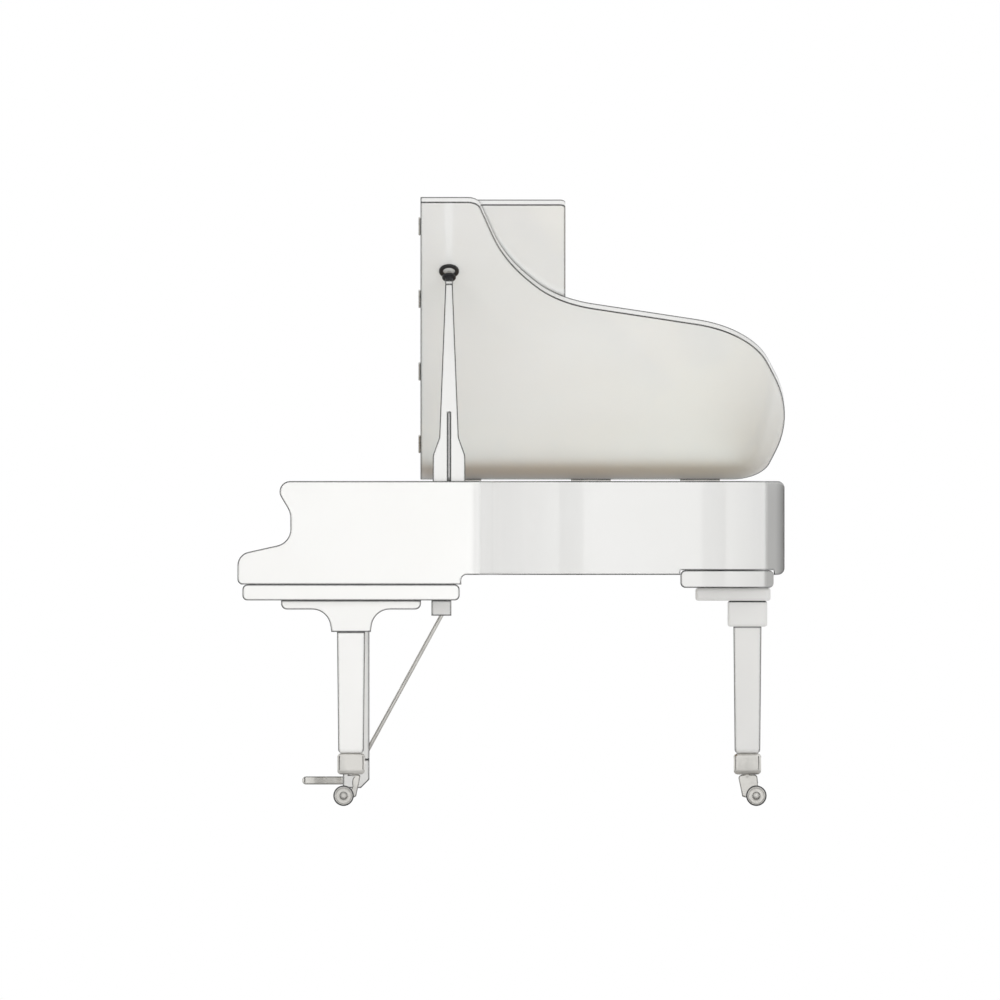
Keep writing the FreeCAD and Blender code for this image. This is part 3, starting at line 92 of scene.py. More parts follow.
class PianoSizes(bpy.types.PropertyGroup):
    """Sizes of the small parts that are added to the case"""

    edge_line: length("Edge line", "Reach of the dark line along a lacquered edge", 0.011)
    unison_pitch: length("Unison pitch", "Distance between the wires of one treble note", 0.0025)
    treble_wire: length("Treble wire", "Radius of a plain steel wire", 0.0005)
    bass_core: length("Bass core", "Radius of the bare core at both ends of a wound string", 0.0007)
    bass_winding: length("Bass winding", "Radius of a wound string over its copper", 0.0017)
    winding_setback: length("Winding setback", "Bare core between the bearing points and the copper", 0.016)
    pin_radius: length("Tuning pin", "Radius of a tuning pin", 0.0035)
    pin_pitch: length("Pin pitch", "Distance between the tuning pins of one treble note", 0.008)
    hitch_radius: length("Hitch pin", "Radius of a hitch pin", 0.002)
    treble_tail: length("Treble tail", "Treble string behind the bridge", 0.075)
    bass_tail: length("Bass tail", "Bass string behind the bridge", 0.07)
    strike_offset: length("Strike offset", "Fixed part of the distance from stud to hammer", 0.01)
    strike_share: bpy.props.FloatProperty(
        name="Strike share", description="Share of the speaking length from stud to hammer", default=0.12)
    strike_line: length("Strike line", "Place of the hammer line along the case", -0.322)
    tail_cloth: length("Tail cloth", "Distance from the hitch pins to the cloth under the string tails", 0.0105)
    bridge_pin: length("Bridge pin", "Radius of a bridge pin", 0.0009)
    bridge_pin_step: length("Bridge pin step", "Half distance along a wire between its two bridge pins", 0.006)
    bridge_pin_gap: length("Bridge pin gap", "Distance from a wire to the middle of its bridge pin", 0.0014)
    bolt_radius: length("Plate bolt", "Radius of the washer of a plate bolt", 0.011)
    bolt_setback: length("Bolt setback", "Distance from the edge of the plate to its bolts", 0.024)
    screw_radius: length("Screw", "Radius of the head of a hinge screw", 0.0034)
    cup_wall: length("Cup wall", "Width of the black prop ring", 0.0115)
    cup_oval: bpy.props.FloatProperty(
        name="Cup oval", description="Stretch of the prop ring up the slope", default=1.15)
    cup_lift: length("Cup lift", "Shift of the prop ring up the slope", 0.0075)
    cup_height: length("Cup height", "Height of the black prop ring", 0.006)
    key_round: length("Key edge", "Rounding of the edges of the key coverings", 0.0009)
    key_cover: length("Key covering", "Thickness of the white covering on a natural key", 0.0024)
    cover_end: length("Cover end", "Place along the keys where their covers end, behind the name felt", -0.6)
    felt_drop: length("Name felt drop", "How far the felt strip hangs below the stretcher", 0.007)
    wheel_round: length("Wheel edge", "Rounding of the tread of a caster wheel", 0.004)
    lid_open: bpy.props.FloatProperty(
        name="Lid opening", description="Angle of the lid on its long prop", default=math.radians(34.1),
        subtype="ANGLE")


class PianoColours(bpy.types.PropertyGroup):
    """Colours of the finishes"""

    lacquer: colour("Lacquer", "White high-gloss lacquer", (0.86, 0.858, 0.846))
    line: colour("Edge line", "Dark line along the lacquered edges", (0.02, 0.02, 0.022))
    timber: colour("Timber", "Light band of the bare hardwood", (0.58, 0.40, 0.23))
    timber_dark: colour("Timber dark", "Dark band of the bare hardwood", (0.40, 0.25, 0.13))
    spruce: colour("Spruce", "Light band of the soundboard", (0.74, 0.57, 0.36))
    spruce_dark: colour("Spruce dark", "Dark band of the soundboard", (0.60, 0.42, 0.23))
    bronze: colour("Bronze", "Gold-bronze paint of the iron plate", (0.76, 0.61, 0.35))
    bronze_dark: colour("Bronze dark", "Gold-bronze paint in the hollows", (0.56, 0.42, 0.21))
    steel: colour("Steel", "Plain string wire", (0.62, 0.62, 0.63))
    blued: colour("Blued steel", "Tuning pins", (0.26, 0.30, 0.38))
    copper: colour("Copper", "Winding of the bass strings", (0.78, 0.36, 0.17))
    brass: colour("Brass", "Bridge pins and action rails", (0.80, 0.58, 0.26))
    nickel: colour("Nickel", "Polished hardware", (0.70, 0.685, 0.65))
    ivory: colour("Ivory", "Covering of the natural keys", (0.84, 0.82, 0.75))
    ebony: colour("Ebony", "Sharp keys", (0.012, 0.011, 0.011))
    black: colour("Black fitting", "Prop cup, prop head and damper heads", (0.014, 0.014, 0.015))
    felt: colour("White felt", "Hammer, damper and prop felt", (0.78, 0.76, 0.70))
    red_felt: colour("Red felt", "Cloth under the string tails and felt over the keys", (0.36, 0.02, 0.025))
    tyre: colour("Tyre", "Tread of the caster wheels", (0.05, 0.05, 0.052))
    floor: colour("Floor", "Studio floor", (0.86, 0.86, 0.86))


def sizes():
    return bpy.context.scene.piano_sizes


def shade(part, share):
    """Colour made darker or lighter."""
    return [min(1, value * share) for value in part[:3]] + [1]


def tint(name, share=1.0):
    """One of the panel's colours, made darker or lighter."""
    return shade(getattr(bpy.context.scene.piano_colours, name), share)


# Modelling helpers

MERGE_REACH = 1e-6
LAST_MERGE_REACH = 3e-6
SMOOTH_ANGLE = math.radians(40)
FLAT_ANGLE = math.radians(1)
RAY_RISE = UP * 0.1


def clear_selection():
    if bpy.context.mode != "OBJECT":
        bpy.ops.object.mode_set(mode="OBJECT")
    bpy.ops.object.select_all(action="DESELECT")


def make_active(piece):
    clear_selection()
    piece.select_set(True)
    bpy.context.view_layer.objects.active = piece


def named(name, piece=None):
    """Name a piece, or the one that was just made, and put its place in its mesh."""
    if not piece:
        piece = bpy.context.object
        bpy.ops.object.transform_apply(location=True, rotation=True, scale=True)
    piece.name = name
    piece.data.name = name
    return piece


def new_block(name, low, high):
    """Cube brought to two corners."""
    low, high = Vector(low), Vector(high)
    clear_selection()
    bpy.ops.mesh.primitive_cube_add(size=1, location=(low + high) / 2, scale=high - low)
    return named(name)


def new_round(name, radius, depth, sides, centre=None, turn=(0, 0, 0)):
    """Cylinder that stands on the origin, or that is turned about a centre."""
    clear_selection()
    bpy.ops.mesh.primitive_cylinder_add(
        vertices=sides, radius=radius, depth=depth, location=centre or (0, 0, depth / 2), rotation=turn)
    return named(name)


def new_sheet(name, corners):
    """Flat face with the given corners in order."""
    clear_selection()
    bpy.ops.mesh.primitive_circle_add(vertices=len(corners), radius=1, fill_type="NGON")
    sheet = named(name)
    for point, place in zip(sheet.data.vertices, corners):
        point.co = place
    return sheet


def edit(piece, action="SELECT"):
    """Enter edit mode with all of a piece selected, or none of it."""
    make_active(piece)
    bpy.ops.object.mode_set(mode="EDIT")
    bpy.ops.mesh.select_all(action=action)


def leave_edit():
    bpy.ops.object.mode_set(mode="OBJECT")


def leave_closed():
    """Leave edit mode with doubled points merged and every face turned outwards."""
    bpy.ops.mesh.select_all(action="SELECT")
    bpy.ops.mesh.remove_doubles(threshold=MERGE_REACH)
    bpy.ops.mesh.normals_make_consistent(inside=False)
    leave_edit()


def push_through(sheet, moves):
    """Push a flat face through space, move by move, into a closed solid."""
    edit(sheet)
    for move in moves:
        bpy.ops.mesh.extrude_region_move(TRANSFORM_OT_translate={"value": move})
    leave_closed()


def spin_round(sheet, steps, angle, centre=(0, 0, 0)):
    """Spin a flat face about an upright axis into a ring."""
    edit(sheet)
    bpy.ops.mesh.spin(steps=steps, angle=angle, center=centre, axis=UP)
    leave_closed()


def pick(piece, kind, parts, test):
    """Enter edit mode with the parts of a mesh selected that pass a test."""
    edit(piece, "DESELECT")
    bpy.ops.mesh.select_mode(type=kind)
    leave_edit()
    for part in getattr(piece.data, parts):
        part.select = test(part)
    bpy.ops.object.mode_set(mode="EDIT")


def pick_faces(piece, test):
    """Enter edit mode with the faces selected whose centre and normal pass a test."""
    pick(piece, "FACE", "polygons", lambda face: test(face.center, face.normal))


def bevel_edges(piece, width, segments=2, test=lambda middle, way: True):
    """Round the edges whose middle and direction pass a test."""
    def passes(edge):
        first, last = (piece.data.vertices[place].co for place in edge.vertices)
        return test((first + last) / 2, (last - first).normalized())

    pick(piece, "EDGE", "edges", passes)
    bpy.ops.mesh.bevel(offset=width, segments=segments, affect="EDGES", clamp_overlap=True)
    leave_edit()


def grow_faces(piece, test, inset, move, scale=1.0):
    """Inset the chosen faces, push them along their normal and scale them."""
    pick_faces(piece, test)
    if inset:
        bpy.ops.mesh.inset(thickness=inset, use_even_offset=True)
    bpy.ops.mesh.extrude_region_shrink_fatten(TRANSFORM_OT_shrink_fatten={"value": move})
    if scale != 1.0:
        bpy.ops.transform.resize(value=(scale, scale, scale))
    leave_edit()


def looking(way, share=0.9):
    """Test for the faces that look along a way."""
    return lambda centre, normal: normal.dot(way) > share


def hub(way, reach):
    """Test for the face that looks along a way at the middle of a round part."""
    return lambda centre, normal: normal.dot(way) > 0.99 and (centre - way * centre.dot(way)).length < reach


def node_copy(name, node):
    """Copy of a CAD node as a closed mesh that can be shaped further."""
    piece = nodes[node].copy()
    piece.data = nodes[node].data.copy()
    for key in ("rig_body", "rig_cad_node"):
        del piece[key]
    piece.parent = None
    piece.hide_viewport = False
    piece.hide_render = False
    bpy.context.scene.collection.objects.link(named(name, piece))
    edit(piece)
    bpy.ops.mesh.remove_doubles(threshold=MERGE_REACH)
    bpy.ops.mesh.customdata_custom_splitnormals_clear()
    bpy.ops.mesh.dissolve_limited(angle_limit=FLAT_ANGLE)
    leave_edit()
    return piece


def points_of(piece):
    return [point.co.copy() for point in piece.data.vertices]


def loose_points(node):
    """Corner points of each separate solid of a CAD node."""
    edit(node_copy("loose_" + node, node))
    bpy.ops.mesh.separate(type="LOOSE")
    leave_edit()
    solids = list(bpy.context.selected_objects)
    found = [points_of(solid) for solid in solids]
    for solid in solids:
        bpy.data.objects.remove(solid)
    return found


def box_of(points):
    low = Vector([min(point[n] for point in points) for n in range(3)])
    high = Vector([max(point[n] for point in points) for n in range(3)])
    return low, high


def repeat(name, pattern, places):
    """Copies of a pattern, each with its own mesh, moved to their places and joined."""
    copies = []
    for place in places:
        copy = pattern.copy()
        copy.data = pattern.data.copy()
        copy.data.transform(place)
        bpy.context.scene.collection.objects.link(copy)
        copies.append(copy)
    bpy.data.objects.remove(pattern)
    return joined(name, copies)


def joined(name, pieces):
    make_active(pieces[0])
    for piece in pieces[1:]:
        piece.select_set(True)
    if len(pieces) > 1:
        bpy.ops.object.join()
    return named(name, bpy.context.object)


def aimed(start, way, long=1.0):
    """Place that stands a pattern of unit height on a point along a direction."""
    turn = Vector(way).to_track_quat("Z", "Y").to_matrix().to_4x4()
    return Matrix.Translation(start) @ turn @ Matrix.Diagonal((1, 1, long, 1))


def finish_named(name):
    return bpy.data.materials[name]


def settle(piece, body, finish, slot, *stands_for):
    """Give a finished piece its finish and its body, and hide the CAD nodes that it stands for."""
    edit(piece)
    bpy.ops.mesh.remove_doubles(threshold=LAST_MERGE_REACH)
    leave_edit()
    bpy.ops.object.shade_smooth_by_angle(angle=SMOOTH_ANGLE)
    if not piece.data.materials:
        piece.data.materials.append(None)
    piece.data.materials[0] = finish_named(finish)
    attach(piece, body)
    if stands_for:
        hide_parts(*stands_for)


def settle_row(name, pattern, places, *settling):
    """Repeat a pattern at its places and settle the row."""
    settle(repeat(name, pattern, places), *settling)


def second_finish(piece, finish, test):
    """Give another finish to the faces whose centre and normal pass a test."""
    slots = piece.data.materials
    if not slots:
        slots.append(None)
    slots.append(finish_named(finish))
    for face in piece.data.polygons:
        if test(face.center, face.normal):
            face.material_index = len(slots) - 1


def first_hit(node, start, way):
    """Point and normal where a line from a start first meets a CAD node."""
    hit, point, normal, face = nodes[node].ray_cast(Vector(start), Vector(way).normalized())
    if not hit:
        raise RuntimeError("nothing to seat a part on at " + node)
    return point, normal


def seat_on(node, spot):
    """Point of a CAD node straight below a spot."""
    return first_hit(node, spot + RAY_RISE, DOWN)[0]


# Shader helpers and shared effects

def feed(node, place, value):
    """Set an input of a node to a value, or wire it to the output of another node."""
    socket = node.inputs[place]
    if isinstance(value, bpy.types.NodeSocket):
        node.id_data.links.new(value, socket)
    else:
        socket.default_value = value


def add(tree, kind, inputs=None, **values):
    """Add a shader node with its plain properties and its inputs."""
    node = tree.nodes.new("ShaderNode" + kind)
    for name, value in values.items():
        setattr(node, name, value)
    for place, value in (inputs or {}).items():
        feed(node, place, value)
    return node


def maths(operation, first, second):
    tree = (first if isinstance(first, bpy.types.NodeSocket) else second).id_data
    return add(tree, "Math", {0: first, 1: second}, operation=operation).outputs[0]


def times(first, second):
    return maths("MULTIPLY", first, second)


def span(value, low, high, start=0.0, end=1.0):
    """Value taken from one range to another and held at its ends."""
    inputs = {"Value": value, "From Min": low, "From Max": high, "To Min": start, "To Max": end}
    return add(value.id_data, "MapRange", inputs, clamp=True).outputs["Result"]


def noise(vector, scale, detail=3.0, distortion=0.0):
    inputs = {"Vector": vector, "Scale": scale, "Detail": detail, "Distortion": distortion}
    return add(vector.id_data, "TexNoise", inputs).outputs["Fac"]


def object_place(tree, turn=(0, 0, 0), shift=(0, 0, 0)):
    """Object coordinates, turned and shifted."""
    source = add(tree, "TexCoord").outputs["Object"]
    return add(tree, "Mapping", {"Vector": source, "Rotation": turn, "Location": shift}).outputs["Vector"]


def mixed(factor, first, second):
    """Colour between two colours or colour sockets."""
    return add(factor.id_data, "Mix", {0: factor, 6: first, 7: second}, data_type="RGBA").outputs[2]


def new_group(name, inputs, outputs):
    """Empty shader group, with what its input node puts out and its output node."""
    tree = bpy.data.node_groups.new(name, "ShaderNodeTree")
    for way, labels in (("INPUT", inputs), ("OUTPUT", outputs)):
        for label in labels:
            kind = "NodeSocketVector" if label in ("Vector", "Normal") else "NodeSocketFloat"
            tree.interface.new_socket(label, in_out=way, socket_type=kind)
    return tree, tree.nodes.new("NodeGroupInput").outputs, tree.nodes.new("NodeGroupOutput")


def edge_line_group():
    """Mask along sharp edges and a normal that rounds them."""
    tree, entry, end = new_group("edge_line", ["Reach"], ["Line", "Normal"])
    rounded = add(tree, "Bevel", {"Radius": entry["Reach"]}, samples=8).outputs["Normal"]
    flat = add(tree, "NewGeometry").outputs["Normal"]
    alike = add(tree, "VectorMath", {0: rounded, 1: flat}, operation="DOT_PRODUCT").outputs["Value"]
    feed(end, "Line", span(alike, 0.92, 0.98, 1, 0))
    feed(end, "Normal", rounded)


def handling_group():
    """Faint smears and hairline scratches that polish gathers in use."""
    tree, entry, end = new_group("handling", ["Scale"], ["Smear", "Scratch"])
    sized = add(tree, "VectorMath", {0: object_place(tree), "Scale": entry["Scale"]}, operation="SCALE").outputs[0]
    drawn_out = {"Vector": sized, "Scale": (400, 12, 400), "Rotation": (0.5, 0.4, 0.7)}
    hairs = add(tree, "Mapping", drawn_out).outputs["Vector"]
    feed(end, "Smear", span(noise(sized, 7, 6, 0.6), 0.42, 0.72))
    feed(end, "Scratch", span(noise(hairs, 1, 2), 0.66, 0.74))


def grain_group():
    """Growth bands and pores of timber whose fibres run along Y of the vector."""
    tree, entry, end = new_group("wood_grain", ["Vector", "Bands"], ["Band", "Pore"])
    along = add(tree, "VectorMath", {0: entry["Vector"], 1: (1, 0.045, 1)}, operation="MULTIPLY").outputs[0]
    waving = {"Vector": along, "Scale": entry["Bands"], "Distortion": 5.0, "Detail": 3.0, "Detail Scale": 1.6}
    wave = add(tree, "TexWave", waving, wave_type="BANDS", bands_direction="X", wave_profile="SIN").outputs["Fac"]
    feed(end, "Band", maths("ADD", times(wave, 0.65), times(noise(along, 9, 4), 0.45)))
    feed(end, "Pore", span(noise(along, 900, 2), 0.35, 0.6))


def fibre_group():
    """Loose fibres of pressed felt and braid."""
    tree, entry, end = new_group("felt_fibre", ["Scale"], ["Fibre", "Tuft"])
    feed(end, "Fibre", noise(object_place(tree), entry["Scale"], 5, 1.2))
    feed(end, "Tuft", span(noise(object_place(tree), 160), 0.35, 0.65))


def effect(tree, name, **values):
    """What a shared effect puts out in a material, with its own values."""
    node = add(tree, "Group", node_tree=bpy.data.node_groups[name])
    for label, value in values.items():
        feed(node, label, value)
    return node.outputs


# Finishes

def new_finish(name, **values):
    """Material with one Principled shader and plain values on its sockets."""
    finish = bpy.data.materials.new(name)
    finish.use_nodes = True
    tree = finish.node_tree
    shader = tree.nodes["Principled BSDF"]
    for label, value in values.items():
        feed(shader, label.replace("_", " "), value)
    return tree, shader


def worn_finish(name, reach, scale, **values):
    """New finish with a line along its edges and the marks of handling."""
    tree, shader = new_finish(name, **values)
    return tree, shader, effect(tree, "edge_line", Reach=reach), effect(tree, "handling", Scale=scale)


def dress(shader, base, rough, height, strength, distance, normal=None):
    """Feed the colour, the roughness and the fine relief of a finish."""
    feed(shader, "Base Color", base)
    feed(shader, "Roughness", rough)
    relief = add(shader.id_data, "Bump", {"Height": height, "Strength": strength, "Distance": distance})
    if normal:
        feed(relief, "Normal", normal)
    feed(shader, "Normal", relief.outputs["Normal"])


def lacquer_finish(name, base, dark, reach):
    """Sprayed gloss lacquer with faint orange peel, smears and a dark line along its edges."""
    tree, shader, line, wear = worn_finish(name, reach, 1.0, Coat_Weight=0.7, Coat_Roughness=0.03)
    tone = span(noise(object_place(tree), 2.2), 0.3, 0.7)
    warm = mixed(tone, base, [base[0] * 0.975, base[1] * 0.972, base[2] * 0.962, 1])
    rough = maths("ADD", span(wear["Smear"], 0, 1, 0.12, 0.22), times(wear["Scratch"], 0.015))
    peel = noise(object_place(tree), 320, 2)
    dress(shader, mixed(line["Line"], warm, dark), rough, peel, 0.03, 0.0004, line["Normal"])


def timber_finish(name, light, dark, bands, turn=0.0, gloss=0.5):
    """Planed timber with growth bands and open pores."""
    tree, shader = new_finish(name)
    grain = effect(tree, "wood_grain", Vector=object_place(tree, (0, 0, turn)), Bands=bands)
    pored = mixed(times(grain["Pore"], 0.22), mixed(grain["Band"], light, dark), shade(dark, 0.55))
    rough = span(grain["Band"], 0, 1, gloss - 0.08, gloss + 0.1)
    dress(shader, pored, rough, grain["Pore"], 0.25, 0.0003)


def metal_finish(name, base, rough, spread, scale, edge=0.001):
    """Polished or satin metal with smears, hairline scratches and tarnish along its edges."""
    tree, shader, line, wear = worn_finish(name, edge, scale, Metallic=1.0)
    tone = mixed(wear["Smear"], base, shade(base, 0.8))
    lined = mixed(line["Line"], tone, shade(base, 0.12))
    scratched = maths("ADD", span(wear["Smear"], 0, 1, rough, rough + spread), times(wear["Scratch"], 0.06))
    dress(shader, lined, scratched, wear["Scratch"], 0.03, 0.0002, line["Normal"])


def cast_plate_finish(name, light, dark):
    """Sand-cast iron under gold-bronze paint, with a painted highlight along its sharp edges."""
    tree, shader, line, wear = worn_finish(
        name, 0.004, 2.0, Metallic=0.75, Coat_Weight=0.25, Coat_Roughness=0.2)
    paint = mixed(span(noise(object_place(tree), 5, 4), 0.35, 0.7), light, dark)
    # Painted highlight: the paint is made lighter along the sharp edges
    paint_with_edge_highlight = mixed(times(line["Line"], 0.6), paint, shade(light, 1.35))
    sand = noise(object_place(tree), 420, 4)
    dress(shader, paint_with_edge_highlight, span(wear["Smear"], 0, 1, 0.34, 0.46), sand, 0.35, 0.0005, line["Normal"])


def winding_finish(name, base):
    """Copper wire wound round a core, seen as fine ridges across the string."""
    tree, shader = new_finish(name, Metallic=1.0)
    wear = effect(tree, "handling", Scale=6.0)
    across = {"Vector": object_place(tree), "Scale": 320}
    ridge = add(tree, "TexWave", across, wave_type="BANDS", bands_direction="Y", wave_profile="SIN").outputs["Fac"]
    dull = mixed(wear["Smear"], base, shade(base, 0.6))
    dress(shader, dull, span(ridge, 0, 1, 0.42, 0.28), ridge, 0.5, 0.0004)


def felt_finish(name, base):
    """Pressed wool felt."""
    tree, shader = new_finish(name, Sheen_Weight=0.5, Sheen_Roughness=0.4)
    felt = effect(tree, "felt_fibre", Scale=1500.0)
    dark = shade(base, 0.62)
    fibres = mixed(span(felt["Fibre"], 0.35, 0.65), dark, base)
    tufted = mixed(times(felt["Tuft"], 0.18), fibres, dark)
    dress(shader, tufted, span(felt["Fibre"], 0, 1, 0.85, 1.0), felt["Fibre"], 0.5, 0.0005)


def satin_finish(name, base, rough, grainy=700):
    """Dark satin paint or moulded rubber with a fine texture, a painted highlight along its edges and faint paler
    smears.
    """
    tree, shader, line, wear = worn_finish(name, 0.002, 3.0)
    pale = [min(1, part * 2.6 + 0.01) for part in base[:3]] + [1]
    # Painted highlight: sharp edges are mixed half way to the pale tint, and smears from handling add a little of it
    edge_highlight_and_smear = maths("MAXIMUM", times(line["Line"], 0.5), times(wear["Smear"], 0.15))
    smear = span(wear["Smear"], 0, 1, rough - 0.06, rough + 0.08)
    texture = noise(object_place(tree), grainy)
    dress(shader, mixed(edge_highlight_and_smear, base, pale), smear, texture, 0.12, 0.0003, line["Normal"])


def split_finish(name, first, second, mask):
    """Finish that changes at a mask, as a covering on timber: each part is light, dark, roughness and woodenness."""
    tree, shader = new_finish(name)
    where = mask(tree)
    fibre = effect(tree, "felt_fibre", Scale=1100.0)
    grain = effect(tree, "wood_grain", Vector=object_place(tree), Bands=90.0)
    tones = [
        mixed(grain["Band"] if wooden else fibre["Fibre"], light, dark)
        for light, dark, rough, wooden in (first, second)]
    rough = maths("ADD", span(where, 0, 1, first[2], second[2]), times(fibre["Tuft"], 0.05))
    dress(shader, mixed(where, *tones), rough, fibre["Fibre"], 0.12, 0.0003)


def above(tree, level, axis="Z", soft=0.0004, turn=(0, 0, 0), shift=(0, 0, 0)):
    """Mask of the part of a piece beyond a level along an axis of its own coordinates."""
    apart = add(tree, "SeparateXYZ", {0: object_place(tree, turn, shift)})
    return span(apart.outputs[axis], level - soft, level + soft)


def before(tree, place):
    """Mask of the part of a piece in front of a place along the case."""
    return maths("SUBTRACT", 1, above(tree, place, "Y"))


NATURAL_HEIGHT = 0.022
NATURAL_FRONT = 0.0012
SHARP_FOOT = 0.0195
HAMMER_REST = math.radians(20)
HAMMER_WOOD_TOP = 0.024
HAMMER_HEAD_START = 0.115
HAMMER_SOFT = 0.001
# Black from the first level to the second and over the third, felt between the second and the third
DAMPER_LEVELS = (0.885, 0.9, 0.9085)


def split_finishes():
    """Finishes of the pieces that are of two stuffs: keys, hammers and dampers."""
    size = sizes()
    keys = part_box("white_keys")[0]
    hammer_pin = hinge_pins["white_hammer_throw"]
    turned_back = Matrix.Rotation(HAMMER_REST, 3, "X") @ Vector((0, hammer_pin.y, hammer_pin.z))

    def natural_cover(tree):
        top = above(tree, keys.z + NATURAL_HEIGHT - size.key_cover)
        return maths("MAXIMUM", before(tree, keys.y + NATURAL_FRONT), times(top, before(tree, size.cover_end)))

    def sharp_cover(tree):
        return times(above(tree, keys.z + SHARP_FOOT), before(tree, size.cover_end))

    def hammer_felt(tree):
        return times(*(
            above(tree, level, axis, HAMMER_SOFT, (HAMMER_REST, 0, 0), -turned_back)
            for level, axis in ((HAMMER_WOOD_TOP, "Z"), (HAMMER_HEAD_START, "Y"))))

    def damper_black(tree):
        foot, felt_foot, head_foot = (above(tree, level) for level in DAMPER_LEVELS)
        return maths("MAXIMUM", head_foot, maths("SUBTRACT", foot, felt_foot))

    wood = (tint("timber"), tint("timber_dark"), 0.5, True)
    ivory = (tint("ivory"), tint("ivory", 0.95), 0.16, False)
    ebony = (tint("ebony"), tint("ebony", 2.2), 0.24, False)
    felt = (tint("felt"), tint("felt", 0.8), 0.95, False)
    black = (tint("black"), tint("black", 2), 0.3, False)
    split_finish("natural_key", wood, ivory, natural_cover)
    split_finish("sharp_key", wood, ebony, sharp_cover)
    split_finish("hammer_head", wood, felt, hammer_felt)
    split_finish("damper_head", felt, black, damper_black)


def make_finishes():
    """Build every finish once; they are found again by name."""
    edge_line_group()
    handling_group()
    grain_group()
    fibre_group()
    lacquer_finish("case_lacquer", tint("lacquer"), tint("line"), sizes().edge_line)
    timber_finish("case_timber", tint("timber"), tint("timber_dark"), 26.0)
    timber_finish("action_timber", tint("timber"), tint("timber_dark", 1.3), 70.0, gloss=0.55)
    timber_finish("bridge_maple", tint("timber", 0.9), tint("timber_dark", 0.8), 60.0, 0.25)
    timber_finish("soundboard_spruce", tint("spruce"), tint("spruce_dark"), 85.0, math.radians(-35), 0.34)
    timber_finish("rib_spruce", tint("spruce"), tint("spruce_dark"), 85.0, math.radians(55))
    cast_plate_finish("plate_bronze", tint("bronze"), tint("bronze_dark"))
    metal_finish("plain_wire", tint("steel"), 0.24, 0.1, 4.0)
    metal_finish("pin_blued_steel", tint("blued"), 0.26, 0.14, 6.0)
    metal_finish("polished_brass", tint("brass"), 0.16, 0.14, 3.0)
    metal_finish("polished_nickel", tint("nickel"), 0.13, 0.12, 2.0, 0.007)
    metal_finish("hinge_nickel", tint("nickel"), 0.2, 0.12, 3.0, 0.0006)
    metal_finish("rail_metal", tint("brass", 0.9), 0.3, 0.15, 2.0)
    winding_finish("copper_winding", tint("copper"))
    felt_finish("red_felt", tint("red_felt"))
    felt_finish("white_felt", tint("felt"))
    satin_finish("black_satin", tint("black"), 0.38)
    satin_finish("tyre_rubber", tint("tyre"), 0.62, 500)
    split_finishes()


NODE_FINISHES = {
    "case_lacquer": (
        "outer_rim", "keybed", "key_slip", "key_blocks", "stretcher", "fallboard", "music_tray", "music_desk",
        "front_leg_brackets", "legs", "rear_leg_beam", "rear_leg_blocks", "lyre_posts", "lyre_blocks", "pedal_box",
        "lid_panel", "lid_flap", "lid_prop", "short_prop"),
    "case_timber": ("inner_rim", "belly_rail", "back_posts", "pin_block", "key_frame", "desk_runners"),
    "action_timber": ("white_whippens", "black_whippens"),
    "bridge_maple": ("bridges",),
    "soundboard_spruce": ("soundboard",),
    "rib_spruce": ("soundboard_ribs",),
    "plate_bronze": ("iron_plate",),
    "rail_metal": ("action_rails",),
    "hammer_head": ("white_hammers", "black_hammers"),
    "damper_head": ("dampers",),
    "natural_key": ("white_keys",),
    "sharp_key": ("black_keys",),
    "plain_wire": ("treble_strings",),
    "copper_winding": ("bass_strings",),
    "pin_blued_steel": ("tuning_pins",),
    "black_satin": ("prop_cup", "prop_tip"),
    "hinge_nickel": ("lid_hinge_rim_leaves", "lid_leaves", "flap_leaves", "prop_bracket"),
    "polished_nickel": (
        "leg_cuffs", "lyre_braces",
        "front_left_caster_horn", "front_right_caster_horn", "rear_caster_horn",
        "front_left_caster_wheels", "front_right_caster_wheels", "rear_caster_wheels",
        "soft_pedal", "sostenuto_pedal", "sustain_pedal",
        "soft_pedal_rod", "sostenuto_pedal_rod", "sustain_pedal_rod"),
}


class PIANO_OT_finishes(bpy.types.Operator):
    """Give every CAD node its finish"""

    bl_idname = "piano.finishes"
    bl_label = "Finishes"

    def execute(self, context):
        make_finishes()
        for finish, members in NODE_FINISHES.items():
            for node in members:
                for place in nodes[node].material_slots:
                    place.material = finish_named(finish)
        return {"FINISHED"}


# Strings and what holds them

UNISON = (-1, 0, 1)
PIN_FOOT = 0.865
BASS_PIN_STRETCH = 1.45
PIN_SHANK = 0.011
# Rise and swell of each step of a tuning pin over its shank: coil, shaft and square head
PIN_STEPS = (
    (0.0, 1.28), (0.0078, 1.0), (0.0, 0.78), (0.013, 1.0), (0.0, 0.94), (0.010, 0.9), (0.001, 0.8))
HITCH_OVER_WIRE = 0.004
RAIL_UNDER_WIRE = 0.006
RAIL_SPARE = 0.015
RAIL_HALF_WIDTH = 0.009
RAIL_ROUND = 0.003
RAIL_SUNK = 0.0002
EYE_SUNK = 0.001
EYE_PIN = 0.012
CLOTH_WIDTH = 0.008
CLOTH_ROUND = 0.0012
BRIDGE_PIN_HEIGHT = 0.003
PLATE_MIDDLE = Vector((-0.1, 0.05, 0.86))
BOLT_COUNT = 22
WASHER = 0.002
BOLT_HEAD = 0.006
BOLT_ROUND = 0.0006
BOLT_CROWN = 0.0018


def string_ends(node):
    """Front and back end of each string of a CAD node, from left to right."""
    found = []
    for points in loose_points(node):
        middle = sum(point.y for point in points) / len(points)
        front = [point for point in points if point.y < middle]
        back = [point for point in points if point.y >= middle]
        found.append((sum(front, Vector()) / len(front), sum(back, Vector()) / len(back)))
    return sorted(found, key=lambda ends: ends[0].x)


